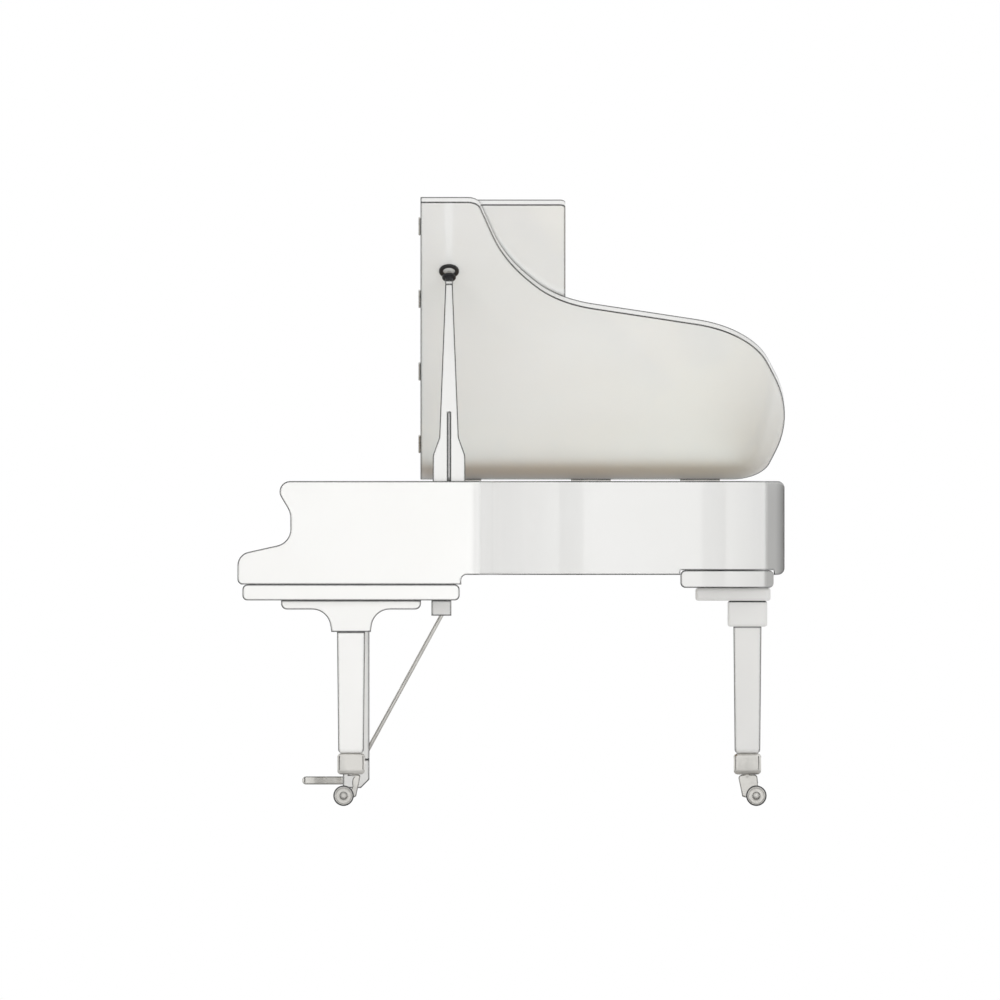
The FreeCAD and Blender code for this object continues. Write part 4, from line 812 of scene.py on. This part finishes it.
def bearing_points(ends, tail):
    """Stud and bridge points of a string, from where its hammer strikes."""
    size = sizes()
    front, back = ends
    way = (back - front).normalized()
    strike = front + way * ((size.strike_line - front.y) / way.y)
    speaking = ((back - strike).length - tail + size.strike_offset) / (1 - size.strike_share)
    stud = strike - way * (size.strike_offset + size.strike_share * speaking)
    return stud, back - way * tail, way


def fan_offset(ends, step):
    """Sideways step from the middle wire of a note to its neighbours."""
    front, back = ends
    return UP.cross(back - front).normalized() * (-step * sizes().unison_pitch)


def treble_wires():
    """Front end and back end of every treble wire, with its step from the middle of its note."""
    for front, back in string_ends("treble_strings"):
        for step in UNISON:
            aside = fan_offset((front, back), step)
            yield front + aside + Vector((0, step * sizes().pin_pitch, 0)), back + aside, step


def wire_pattern(name, radius, sides=6):
    """One metre of wire along Z with drawn-in ends."""
    wire = new_round(name, radius, 1.0, sides)
    pick_faces(wire, lambda centre, normal: abs(normal.z) > 0.9)
    bpy.ops.mesh.inset(thickness=radius * 0.35)
    leave_edit()
    return wire


def stretched(start, end):
    return aimed(start, end - start, (end - start).length)


class PIANO_OT_strings(bpy.types.Operator):
    """String the piano: three plain wires to each treble note, one wound string to each bass note"""

    bl_idname = "piano.strings"
    bl_label = "Strings"

    def execute(self, context):
        size = sizes()
        runs = []
        for front, back, step in treble_wires():
            short = (back - front).normalized() * (0.0 if step else size.hitch_radius)
            runs.append(stretched(front, back - short))
        wire = wire_pattern("treble_wire", size.treble_wire)
        settle_row("treble_wires", wire, runs, "case", "plain_wire", "string_steel", "treble_strings")

        cores, windings = [], []
        for front, back in string_ends("bass_strings"):
            stud, bridge, way = bearing_points((front, back), size.bass_tail)
            bare = way * size.winding_setback
            cores.append(stretched(front, back - way * (size.hitch_radius + size.bass_core)))
            windings.append(stretched(stud + bare, bridge - bare))
        core = wire_pattern("bass_core", size.bass_core)
        settle_row("bass_cores", core, cores, "case", "plain_wire", "string_steel")
        copper = wire_pattern("bass_winding", size.bass_winding, 10)
        settle_row("bass_windings", copper, windings, "case", "copper_winding", "string_copper", "bass_strings")
        return {"FINISHED"}


def pin_pattern():
    """Tuning pin along Z from the plate up, with the coil of its wire and a square head."""
    pin = new_round("tuning_pin", sizes().pin_radius, PIN_SHANK, 8)
    for rise, swell in PIN_STEPS:
        pick_faces(pin, looking(UP))
        bpy.ops.mesh.extrude_region_move(TRANSFORM_OT_translate={"value": (0, 0, rise)})
        bpy.ops.transform.resize(value=(swell, swell, 1))
        leave_edit()
    return pin


class PIANO_OT_tuning_pins(bpy.types.Operator):
    """Drive a tuning pin beside the front end of every wire"""

    bl_idname = "piano.tuning_pins"
    bl_label = "Tuning pins"

    def execute(self, context):
        beside = sizes().pin_radius + sizes().treble_wire
        taller = Matrix.Diagonal((1, 1, BASS_PIN_STRETCH, 1))
        places = [
            Matrix.Translation((front.x + beside, front.y, PIN_FOOT)) for front, back, step in treble_wires()]
        places += [
            Matrix.Translation((front.x + beside, front.y, PIN_FOOT)) @ taller
            for front, back in string_ends("bass_strings")]
        settle_row("tuning_pin_rows", pin_pattern(), places, "case", "pin_blued_steel", "pin_steel", "tuning_pins")
        return {"FINISHED"}


def hitch_pattern(radius, height, loop_rise, loop_radius, wire, turn):
    """Hitch pin along Z with the loop of its wire behind it."""
    clear_selection()
    bpy.ops.mesh.primitive_circle_add(
        vertices=6, radius=wire, fill_type="NGON" if turn < FULL_TURN else "NOTHING",
        location=(loop_radius, 0, loop_rise), rotation=(QUARTER_TURN, 0, 0))
    loop = named("hitch_loop")
    spin_round(loop, 8, turn, (0, 0, loop_rise))
    pin = new_round("hitch_pin", radius, height, 8)
    grow_faces(pin, looking(UP), radius * 0.35, radius * 0.4)
    return joined("hitch", [pin, loop])


def cloth_strip(name, line, wide, top):
    """Strip of cloth pulled along a line of points, from the plate up to the strings."""
    low = min(seat_on("iron_plate", spot).z for spot in line)
    across = UP.cross(line[-1] - line[0]).normalized() * wide / 2
    left, right = line[0] - across, line[0] + across
    strip = new_sheet(name, [
        (left.x, left.y, low), (right.x, right.y, low), (right.x, right.y, top), (left.x, left.y, top)])
    push_through(strip, [(*(after - spot).xy, 0) for spot, after in zip(line, line[1:])])
    bevel_edges(strip, CLOTH_ROUND, 2, lambda middle, way: abs(way.z) < 0.5 and middle.z > (low + top) / 2)
    return strip


class PIANO_OT_hitches(bpy.types.Operator):
    """Set the hitch pins, the raised bass hitch rail and the cloth under the string tails"""

    bl_idname = "piano.hitches"
    bl_label = "Hitch pins"

    def execute(self, context):
        size = sizes()
        treble = string_ends("treble_strings")
        bass = string_ends("bass_strings")
        wire_level = treble[0][1].z
        places = []
        for front, back in treble:
            turn = math.atan2(front.x - back.x, back.y - front.y)
            places.append(aimed(seat_on("iron_plate", back), UP) @ Matrix.Rotation(turn, 4, "Z"))
        rise = wire_level - places[0].translation.z
        loop = hitch_pattern(
            size.hitch_radius, rise + HITCH_OVER_WIRE, rise, size.unison_pitch, size.treble_wire, math.pi)
        low = repeat("treble_hitches", loop, places)

        first, last = bass[0][1], bass[-1][1]
        along = (last - first).normalized()
        rail_top = first.z - RAIL_UNDER_WIRE
        foot = seat_on("iron_plate", first).z
        tall = rail_top - foot
        long = (last - first).length + 2 * RAIL_SPARE
        rail = new_block("bass_hitch_rail", (0, -RAIL_HALF_WIDTH, 0), (long, RAIL_HALF_WIDTH, tall))
        grow_faces(rail, looking(DOWN), 0, RAIL_SUNK)
        bevel_edges(rail, RAIL_ROUND, 3, lambda middle, way: middle.z > tall * 0.9 or abs(way.z) > 0.9)
        start = first - along * RAIL_SPARE
        rail.data.transform(
            Matrix.Translation((start.x, start.y, foot)) @ Matrix.Rotation(math.atan2(along.y, along.x), 4, "Z"))
        settle(rail, "case", "plate_bronze", "gold_plate")

        seats = [Matrix.Translation((back.x, back.y, rail_top - EYE_SUNK)) for front, back in bass]
        eye = hitch_pattern(
            size.hitch_radius, EYE_PIN, RAIL_UNDER_WIRE + EYE_SUNK, size.hitch_radius + size.bass_core,
            size.bass_core, FULL_TURN)
        high = repeat("bass_hitches", eye, seats)
        settle(joined("hitch_pins", [low, high]), "case", "plain_wire", "string_steel")

        cloth_line = [
            back - (back - front).normalized() * size.tail_cloth for front, back in treble[::3] + treble[-1:]]
        cloth = cloth_strip("tail_cloth", cloth_line, CLOTH_WIDTH, wire_level - size.treble_wire)
        settle(cloth, "case", "red_felt", "hammer_felt")
        return {"FINISHED"}


class PIANO_OT_bridge_pins(bpy.types.Operator):
    """Drive two bridge pins beside every wire"""

    bl_idname = "piano.bridge_pins"
    bl_label = "Bridge pins"

    def execute(self, context):
        size = sizes()
        places = []
        for node, tail, steps in (
                ("treble_strings", size.treble_tail, UNISON), ("bass_strings", size.bass_tail, (0,))):
            for ends in string_ends(node):
                stud, bridge, way = bearing_points(ends, tail)
                aside = UP.cross(way) * size.bridge_pin_gap
                for step in steps:
                    for side in (-1, 1):
                        spot = bridge + fan_offset(ends, step) + way * (side * size.bridge_pin_step) - aside * side
                        places.append(Matrix.Translation(seat_on("bridges", spot)))
        pin = new_round("bridge_pin", size.bridge_pin, BRIDGE_PIN_HEIGHT, 6)
        grow_faces(pin, looking(UP), size.bridge_pin * 0.4, size.bridge_pin * 0.5)
        settle_row("bridge_pins", pin, places, "case", "polished_brass", "rail_brass")
        return {"FINISHED"}


def bolt_pattern(radius):
    """Hexagon bolt along Z on a round washer."""
    washer = new_round("plate_bolt", radius, WASHER, 24)
    bevel_edges(washer, BOLT_ROUND, 2, lambda middle, way: middle.z > WASHER * 0.75)
    head = new_round("bolt_head", radius * 0.72, BOLT_HEAD, 6, (0, 0, WASHER + BOLT_HEAD / 2))
    bevel_edges(head, BOLT_ROUND, 2, lambda middle, way: middle.z > BOLT_HEAD + WASHER / 2 or abs(way.z) > 0.9)
    grow_faces(head, looking(UP), radius * 0.12, BOLT_CROWN, 0.7)
    return joined("bolt", [washer, head])


class PIANO_OT_plate_bolts(bpy.types.Operator):
    """Bolt the iron plate down along its edge"""

    bl_idname = "piano.plate_bolts"
    bl_label = "Plate bolts"

    def execute(self, context):
        size = sizes()
        places = []
        for step in range(BOLT_COUNT):
            angle = FULL_TURN * (step + 0.5) / BOLT_COUNT
            outward = Vector((math.cos(angle), math.sin(angle), 0))
            edge, normal = first_hit("iron_plate", PLATE_MIDDLE + outward * 2, -outward)
            start = edge - outward * size.bolt_setback + 2 * RAY_RISE
            hit, foot, up, face = nodes["iron_plate"].ray_cast(start, DOWN)
            if hit and up.z > 0.99 and foot.z < PLATE_MIDDLE.z + 0.01:
                places.append(Matrix.Translation(foot) @ Matrix.Rotation(angle, 4, "Z"))
        settle_row("plate_bolts", bolt_pattern(size.bolt_radius), places, "case", "polished_nickel", "nickel")
        return {"FINISHED"}


# Hinges, prop, keys, pedals and casters

SCREW_HEIGHT = 0.0012
SCREW_LIFT = 0.0001
SCREW_ROUND = 0.0005
SCREW_RECESS = 0.0008
LEAF_LENGTH = 0.1
LEAF_SHIFT = 0.006
SCREW_SHARES = (-0.38, -0.13, 0.13, 0.38)
RING_HALF_TURN = math.radians(138)
HEAD_RADIUS = 0.021
HEAD_ROUND = 0.0018
COLLAR = 0.006
NECK = 0.019
NECK_INSET = 0.0068
# Inset, rise and swell of each step of the felt dome
DOME_STEPS = ((0.0092, 0.009, 1.0), (0.0002, 0.0055, 0.82), (0.0002, 0.003, 0.5))
DOME = 0.0175
SLEEVE_HALF_WIDTH = 0.0118
SLEEVE_ROUND = 0.0015
SHARP_ROUND = 1.6
SHARP_RISE = 0.003
FELT_END = 0.002
FELT_GAP = 0.0003
FELT_RISE = 0.02
FELT_ROUND = 0.0015
TRIM_SPARE = 0.001
CASTERS = ("front_left", "front_right", "rear")
# Stem, outside, arm and inside of a caster horn: places along the trail and up from the floor, in metres
HORN_OUTLINES = {
    "front": (
        [(0.010, 0.0905), (0.010, 0.1405), (-0.010, 0.1405), (-0.010, 0.0950)],
        [(-0.0235, 0.0950), (-0.0290, 0.0900), (-0.0310, 0.0810), (-0.0305, 0.0680), (-0.0275, 0.0480),
         (-0.0235, 0.0325), (-0.0190, 0.0265), (-0.0145, 0.0290)],
        [(-0.0025, 0.0225), (0.0225, 0.0195), (0.0345, 0.0310), (0.0225, 0.0430)],
        [(0.0055, 0.0460), (-0.0040, 0.0560), (-0.0035, 0.0700), (-0.0060, 0.0830), (-0.0125, 0.0905)]),
    "rear": (
        [(0.010, 0.0950), (0.010, 0.1405), (-0.010, 0.1405), (-0.010, 0.0950)],
        [(-0.0145, 0.0950), (-0.0230, 0.0915), (-0.0268, 0.0845), (-0.0274, 0.0765), (-0.0195, 0.0360),
         (-0.0165, 0.0295), (-0.0105, 0.0270)],
        [(0.0270, 0.0190), (0.0390, 0.0300), (0.0370, 0.0450)],
        [(0.0315, 0.0655), (0.0325, 0.0775), (0.0305, 0.0875), (0.0240, 0.0950)]),
}
WHEEL_WIDTH = 0.0118
WHEEL_PLAY = 0.0008
AXLE_RADIUS = 0.005
# Inset as a share of the radius and rise of each step of a wheel's side: disc, hub and cap
WHEEL_STEPS = ((0.1, -0.0012), (0.42, 0.0022), (0.12, 0.0008))


def lid_ways():
    """Directions up the slope of the lid and out of its underside."""
    tilt = sizes().lid_open
    return Vector((math.cos(tilt), 0, math.sin(tilt))), Vector((math.sin(tilt), 0, -math.cos(tilt)))


def screw_pattern(radius):
    """Countersunk screw along Z with a round recess."""
    screw = new_round("screw", radius, SCREW_HEIGHT, 18, (0, 0, SCREW_LIFT))
    bevel_edges(screw, SCREW_ROUND, 2, lambda middle, way: middle.z > 0)
    grow_faces(screw, hub(UP, radius * 0.1), radius * 0.5, -SCREW_RECESS)
    return screw


class PIANO_OT_hinge_screws(bpy.types.Operator):
    """Screw the long leaves of the lid hinges down"""

    bl_idname = "piano.hinge_screws"
    bl_label = "Hinge screws"

    def execute(self, context):
        up_slope, out = lid_ways()
        for name, node, body, way, shift in (
                ("rim_leaf_screws", "lid_hinge_rim_leaves", "case", Vector((-1, 0, 0)), DOWN * LEAF_SHIFT),
                ("lid_leaf_screws", "lid_leaves", "lid", -up_slope, -out * LEAF_SHIFT)):
            rows = []
            for points in loose_points(node):
                low, high = box_of(points)
                if high.y - low.y < LEAF_LENGTH:
                    continue
                for share in SCREW_SHARES:
                    aim = (low + high) / 2 + Vector((0, share * (high.y - low.y), 0)) + shift
                    rows.append(aimed(*first_hit(node, aim + way * RAY_RISE.z, -way)))
            screw = screw_pattern(sizes().screw_radius)
            settle_row(name, screw, rows, body, "polished_nickel", "nickel")
        return {"FINISHED"}


def ring_pattern(outer):
    """Flat ring about Z, open over a part of its turn."""
    size = sizes()
    inner = outer - size.cup_wall
    ring = new_sheet("prop_ring", [
        (inner, 0, 0), (outer, 0, 0), (outer, 0, size.cup_height), (inner, 0, size.cup_height)])
    ring.data.transform(Matrix.Rotation(RING_HALF_TURN, 4, "Z"))
    spin_round(ring, 36, 2 * RING_HALF_TURN)
    bevel_edges(ring, HEAD_ROUND, 3, lambda middle, way: middle.z > size.cup_height * 0.9)
    return ring


def head_pattern():
    """Black collar and neck under the origin with a dome over it."""
    head = new_round("prop_head", HEAD_RADIUS, COLLAR, 32, (0, 0, -COLLAR / 2))
    bevel_edges(head, HEAD_ROUND, 3)
    grow_faces(head, looking(DOWN, 0.99), NECK_INSET, NECK)
    for inset, rise, swell in DOME_STEPS:
        grow_faces(head, hub(UP, 1e-4), inset, rise, swell)
    return head


class PIANO_OT_prop_head(bpy.types.Operator):
    """Make the black prop ring on the lid and the felt-tipped black head of the long prop"""

    bl_idname = "piano.prop_head"
    bl_label = "Prop cup and head"

    def execute(self, context):
        size = sizes()
        up_slope, out = lid_ways()
        cup = points_of(nodes["prop_cup"])
        low, high = box_of(cup)
        outer = (high.y - low.y) / 2
        seat = max(point.dot(up_slope) for point in cup) - outer
        level = min(point.dot(out) for point in cup)
        centre = up_slope * seat + out * level + Vector((0, (low.y + high.y) / 2, 0))
        ring = ring_pattern(outer)
        axes = Matrix((up_slope, -Vector((0, 1, 0)), out)).transposed().to_4x4()
        oval = Matrix.Diagonal((size.cup_oval, 1, 1, 1))
        ring.data.transform(Matrix.Translation(centre + up_slope * size.cup_lift) @ axes @ oval)
        settle(ring, "lid", "black_satin", "black_fitting", "prop_cup")

        pin = hinge_pins["prop_fold"]
        pivot = Vector((pin.x, centre.y, pin.z))
        way = (centre - pivot).normalized()
        reach = [(point - pivot).dot(way) for point in points_of(nodes["prop_tip"])]
        head_foot = max(reach) - DOME
        sleeve_top = head_foot - COLLAR - NECK
        head = head_pattern()
        second_finish(head, "white_felt", lambda point, normal: point.z > 0.0005)
        head.data.transform(aimed(pivot + way * head_foot, way))
        settle(head, "prop", "black_satin", "black_fitting", "prop_tip")

        half = SLEEVE_HALF_WIDTH
        sleeve = new_block("prop_sleeve", (-half, -half, min(reach) - sleeve_top), (half, half, 0))
        bevel_edges(sleeve, SLEEVE_ROUND, 2)
        sleeve.data.transform(aimed(pivot + way * sleeve_top, way))
        settle(sleeve, "prop", "case_lacquer", "white_lacquer")
        return {"FINISHED"}


class PIANO_OT_keys(bpy.types.Operator):
    """Round the playing edges of the keys"""

    bl_idname = "piano.keys"
    bl_label = "Keys"

    def execute(self, context):
        size = sizes()
        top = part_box("white_keys")[0].z + NATURAL_HEIGHT
        for name, node, rounding, level, finish, slot in (
                ("natural_keys", "white_keys", size.key_round, top - 1e-4, "natural_key", "key_white"),
                ("sharp_keys", "black_keys", size.key_round * SHARP_ROUND, top + SHARP_RISE, "sharp_key", "key_black")):
            keys = node_copy(name, node)
            bevel_edges(keys, rounding, 2, lambda middle, way: middle.z > level and middle.y < size.cover_end)
            settle(keys, node, finish, slot, node)
        return {"FINISHED"}


class PIANO_OT_name_felt(bpy.types.Operator):
    """Hang the red felt strip behind the fallboard, just above the keys"""

    bl_idname = "piano.name_felt"
    bl_label = "Name felt"

    def execute(self, context):
        low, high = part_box("stretcher")
        face = (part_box("fallboard")[1].y + low.y) / 2
        strip = new_block(
            "name_felt", (low.x + FELT_END, face, low.z - sizes().felt_drop),
            (high.x - FELT_END, low.y - FELT_GAP, low.z + FELT_RISE))
        bevel_edges(strip, FELT_ROUND, 3, lambda middle, way: abs(way.x) > 0.9 and middle.y < face + 0.001)
        settle(strip, "case", "red_felt", "hammer_felt")
        return {"FINISHED"}


def smooth_line(points, steps=5):
    """Points of a smooth open curve through a few places."""
    line = [Vector(points[0])]
    for place in range(len(points) - 1):
        before, here, after, later = (
            Vector(points[min(max(place + turn, 0), len(points) - 1)]) for turn in (-1, 0, 1, 2))
        for step in range(1, steps + 1):
            share = step / steps
            line.append(0.5 * (
                2 * here + (after - before) * share + (2 * before - 5 * here + 4 * after - later) * share ** 2
                + (3 * here - before - 3 * after + later) * share ** 3))
    return line


def horn_outline(kind):
    """Outline of a caster horn, smooth along its outside and its inside."""
    stem, outside, arm, inside = HORN_OUTLINES[kind]
    return [*stem, *smooth_line(outside), *arm, *smooth_line(inside)]


def pedal_plan(half, tip, neck_end, back):
    """Right half of a pedal in plan, from the middle of its tip to its back: round tip, narrow neck, full width."""
    side = smooth_line([
        (0.0, tip), (half * 0.55, tip + 0.0022), (half * 0.93, tip + 0.0105), (half, tip + 0.024),
        (half * 0.97, tip + 0.042), (half * 0.80, tip + 0.074), (half * 0.74, neck_end - 0.004)])
    return side + [Vector((half + TRIM_SPARE, neck_end + 0.002)), Vector((half + TRIM_SPARE, back))]


def trim_to(piece, outline, axis):
    """Keep only the part of a piece within an outline that lies across an axis and is pushed along it."""
    low, high = box_of(points_of(piece))
    start = low[axis] - TRIM_SPARE
    cutter = new_sheet("trim_outline", [(*spot[:axis], start, *spot[axis:]) for spot in outline])
    move = Vector()
    move[axis] = high[axis] - low[axis] + 2 * TRIM_SPARE
    push_through(cutter, [move])
    make_active(piece)
    trim = piece.modifiers.new("trim", "BOOLEAN")
    trim.operation = "INTERSECT"
    trim.object = cutter
    bpy.ops.object.modifier_apply(modifier="trim")
    bpy.data.objects.remove(cutter)


class PIANO_OT_pedals(bpy.types.Operator):
    """Shape the pedals in plan: a narrow neck that widens to a round tip"""

    bl_idname = "piano.pedals"
    bl_label = "Pedals"

    def execute(self, context):
        neck_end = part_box("pedal_box")[0].y
        for node in ("soft_pedal", "sostenuto_pedal", "sustain_pedal"):
            low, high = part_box(node)
            middle = (low.x + high.x) / 2
            side = pedal_plan((high.x - low.x) / 2, low.y - TRIM_SPARE / 2, neck_end, high.y + TRIM_SPARE)
            plan = side + [Vector((-across, along)) for across, along in reversed(side[1:])]
            pedal = node_copy(node + "_lever", node)
            trim_to(pedal, [(middle + across, along) for across, along in plan], axis=2)
            settle(pedal, node, "polished_nickel", "nickel", node)
        return {"FINISHED"}


class PIANO_OT_caster_horns(bpy.types.Operator):
    """Trim the caster horns: leaf-shaped at the front legs, a round-shouldered arm at the rear leg"""

    bl_idname = "piano.caster_horns"
    bl_label = "Caster horns"

    def execute(self, context):
        for place in CASTERS:
            kind, way = ("rear", 1) if place == "rear" else ("front", -1)
            node = place + "_caster_horn"
            swivel = hinge_pins[place + "_caster_swivel"]
            horn = node_copy(place + "_horn", node)
            trim_to(horn, [(swivel.y + way * along, up) for along, up in horn_outline(kind)], axis=0)
            settle(horn, node, "polished_nickel", "nickel", node)
        return {"FINISHED"}


def wheel_pattern(radius):
    """Caster wheel along X with a rounded tread, a sunk disc on each side and a raised hub."""
    wheel = new_round("wheel", radius, WHEEL_WIDTH, 40, (0, 0, 0), (0, QUARTER_TURN, 0))
    bevel_edges(wheel, sizes().wheel_round, 3, lambda middle, way: abs(middle.x) > WHEEL_WIDTH * 0.49)
    for side in (-1, 1):
        for inset, rise in WHEEL_STEPS:
            grow_faces(wheel, hub(Vector((side, 0, 0)), radius * 0.1), radius * inset, rise)
    return wheel


class PIANO_OT_casters(bpy.types.Operator):
    """Make the twin wheels of the three casters"""

    bl_idname = "piano.casters"
    bl_label = "Casters"

    def execute(self, context):
        for place in CASTERS:
            node = place + "_caster_wheels"
            low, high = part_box(node)
            centre = (low + high) / 2
            radius = (high.z - low.z) / 2
            offset = (high.x - low.x) / 2 - WHEEL_WIDTH / 2 - WHEEL_PLAY
            pair = repeat(place + "_wheels", wheel_pattern(radius), [
                Matrix.Translation(centre + Vector((offset * side, 0, 0))) for side in (-1, 1)])
            axle = new_round("axle", AXLE_RADIUS, 2 * offset, 20, centre, (0, QUARTER_TURN, 0))
            bevel_edges(axle, WHEEL_PLAY)
            wheels = joined(place + "_wheel_pair", [pair, axle])
            settle(wheels, node, "polished_nickel", "nickel", node)
            second_finish(wheels, "tyre_rubber", lambda point, normal: (point - centre).yz.length > radius * 0.9)
        return {"FINISHED"}


# Studio

WORLD_LIGHT = 0.5
MIDDLE = (0, 0, 0.9)
WHITE = (1, 1, 1)
# Name, place, target, width, height, power and tint of each lamp
LAMPS = (
    ("side_softbox", (4.4, 0.0, 1.25), MIDDLE, 4.4, 1.8, 40, WHITE),
    ("lid_softbox", (3.8, 0.2, 0.72), (-0.3, 0.2, 1.3), 3.6, 0.5, 26, WHITE),
    ("lid_glow", (-0.15, 0.2, 1.0), (-0.15, 0.2, 2.0), 1.0, 1.0, 2.1, (0.8, 0.93, 1.0)),
    ("front_softbox", (0.6, -4.2, 2.4), MIDDLE, 3, 2, 26, WHITE),
    ("bass_softbox", (-4.4, 0.6, 2.4), MIDDLE, 3, 2, 30, WHITE),
    ("rear_softbox", (0.4, 4.6, 2.4), MIDDLE, 3, 2, 22, WHITE),
    ("overhead_softbox", (0.4, 0.2, 4.4), MIDDLE, 4, 4, 34, WHITE),
)
# Name, place and size of each dark card
FLAGS = (
    ("far_flag", (-3.2, 0, 0.65), (0.02, 7, 0.8)),
    ("left_flag", (2.4, -3.3, 1.2), (2.4, 0.02, 2.6)),
    ("right_flag", (2.4, 3.3, 1.2), (2.4, 0.02, 2.6)),
)
FLOOR_SIZE = 14
FLOOR_LEVEL = -0.0006
FLOOR_FADE = (1.6, 4.2)
CAMERA_PLACE = (6, -0.0332, 0.9229)
CAMERA_WIDTH = 3.016
CAMERA_REACH = 40


def studio_light(name, place, target, wide, high, power, tone):
    """Soft rectangular lamp aimed at a point, unseen by the camera and in reflections."""
    clear_selection()
    bpy.ops.object.light_add(type="AREA", location=place)
    lamp = bpy.context.object
    lamp.name = name
    lamp.data.shape = "RECTANGLE"
    lamp.data.size = wide
    lamp.data.size_y = high
    lamp.data.color = tone
    lamp.data.energy = power
    lamp.rotation_euler = (Vector(target) - Vector(place)).to_track_quat("-Z", "Y").to_euler()
    lamp.visible_camera = False
    lamp.visible_glossy = False


def studio_flag(name, place, size):
    """Dark card that only reflections see, so that polished edges stand out."""
    half = Vector(size) / 2
    flag = new_block(name, Vector(place) - half, Vector(place) + half)
    bevel_edges(flag, min(size) * 0.2)
    tree, shader = new_finish(name, Roughness=1.0, Specular_IOR_Level=0.0)
    patch = noise(object_place(tree), 3, 2)
    feed(shader, "Base Color", mixed(patch, (0.01, 0.01, 0.01, 1), (0.014, 0.014, 0.014, 1)))
    flag.data.materials.append(finish_named(name))
    for ray in ("camera", "diffuse", "transmission", "volume_scatter", "shadow"):
        setattr(flag, "visible_" + ray, False)


def seen_rays(tree):
    """1 for the rays that show a surface to the camera, straight or in a reflection."""
    rays = add(tree, "LightPath").outputs
    seen = maths("MAXIMUM", rays["Is Camera Ray"], rays["Is Glossy Ray"])
    return maths("MAXIMUM", seen, rays["Is Transmission Ray"])


def studio_floor(base):
    """Pale floor that keeps the shadow under the piano and runs out to white around it."""
    clear_selection()
    bpy.ops.mesh.primitive_plane_add(size=FLOOR_SIZE, location=(0, 0, FLOOR_LEVEL))
    floor = named("studio_floor")
    tree, shader = new_finish("studio_floor", Specular_IOR_Level=0.2)
    patch = span(noise(object_place(tree), 0.9), 0.3, 0.7)
    feed(shader, "Base Color", mixed(patch, base, shade(base, 0.985)))
    feed(shader, "Roughness", span(noise(object_place(tree), 60), 0.3, 0.7, 0.7, 0.8))
    away = add(tree, "VectorMath", {0: object_place(tree)}, operation="LENGTH").outputs["Value"]
    glow = add(tree, "Emission").outputs["Emission"]
    fade = times(seen_rays(tree), span(away, *FLOOR_FADE))
    blend = add(tree, "MixShader", {"Fac": fade, 1: shader.outputs["BSDF"], 2: glow})
    feed(tree.nodes["Material Output"], "Surface", blend.outputs["Shader"])
    floor.data.materials.append(finish_named("studio_floor"))


def studio_world(strength):
    """White to the camera and in reflections, softer as light on the piano."""
    world = bpy.data.worlds.new("studio")
    bpy.context.scene.world = world
    world.use_nodes = True
    sky = world.node_tree.nodes["Background"]
    feed(sky, "Color", (1, 1, 1, 1))
    feed(sky, "Strength", span(seen_rays(world.node_tree), 0, 1, strength, 1.0))


class PIANO_OT_stage(bpy.types.Operator):
    """Set the studio: pale floor, soft light and the square-on camera at the treble side"""

    bl_idname = "piano.stage"
    bl_label = "Studio"

    def execute(self, context):
        studio_floor(tint("floor"))
        studio_world(WORLD_LIGHT)
        for lamp in LAMPS:
            studio_light(*lamp)
        for flag in FLAGS:
            studio_flag(*flag)
        clear_selection()
        bpy.ops.object.camera_add(location=CAMERA_PLACE, rotation=(QUARTER_TURN, 0, QUARTER_TURN))
        camera = context.object
        camera.data.type = "ORTHO"
        camera.data.ortho_scale = CAMERA_WIDTH
        camera.data.clip_end = CAMERA_REACH
        context.scene.camera = camera
        context.scene.view_settings.view_transform = "Standard"
        return {"FINISHED"}


class PIANO_PT_dressing(bpy.types.Panel):
    """Sidebar panel with the steps, sizes and colours"""

    bl_idname = "PIANO_PT_dressing"
    bl_label = "Grand piano"
    bl_space_type = "VIEW_3D"
    bl_region_type = "UI"
    bl_category = "Piano"

    def draw(self, context):
        steps = self.layout.column(align=True)
        for step in STEPS:
            steps.operator(step.bl_idname)
        for group in (context.scene.piano_sizes, context.scene.piano_colours):
            box = self.layout.box()
            for name in group.bl_rna.properties.keys():
                if name not in ("rna_type", "name"):
                    box.prop(group, name)


STEPS = (
    PIANO_OT_finishes, PIANO_OT_strings, PIANO_OT_tuning_pins, PIANO_OT_hitches, PIANO_OT_bridge_pins,
    PIANO_OT_plate_bolts, PIANO_OT_hinge_screws, PIANO_OT_prop_head, PIANO_OT_keys, PIANO_OT_name_felt,
    PIANO_OT_pedals, PIANO_OT_caster_horns, PIANO_OT_casters, PIANO_OT_stage)
CLASSES = (PianoSizes, PianoColours, *STEPS, PIANO_PT_dressing)


def register():
    for item in CLASSES:
        bpy.utils.register_class(item)
    bpy.types.Scene.piano_sizes = bpy.props.PointerProperty(type=PianoSizes)
    bpy.types.Scene.piano_colours = bpy.props.PointerProperty(type=PianoColours)


def unregister():
    del bpy.types.Scene.piano_colours
    del bpy.types.Scene.piano_sizes
    for item in reversed(CLASSES):
        bpy.utils.unregister_class(item)


def main():
    register()
    bpy.ops.piano.finishes()
    bpy.ops.piano.strings()
    bpy.ops.piano.tuning_pins()
    bpy.ops.piano.hitches()
    bpy.ops.piano.bridge_pins()
    bpy.ops.piano.plate_bolts()
    bpy.ops.piano.hinge_screws()
    bpy.ops.piano.prop_head()
    bpy.ops.piano.keys()
    bpy.ops.piano.name_felt()
    bpy.ops.piano.pedals()
    bpy.ops.piano.caster_horns()
    bpy.ops.piano.casters()
    bpy.ops.piano.stage()


if __name__ == "__main__":
    main()
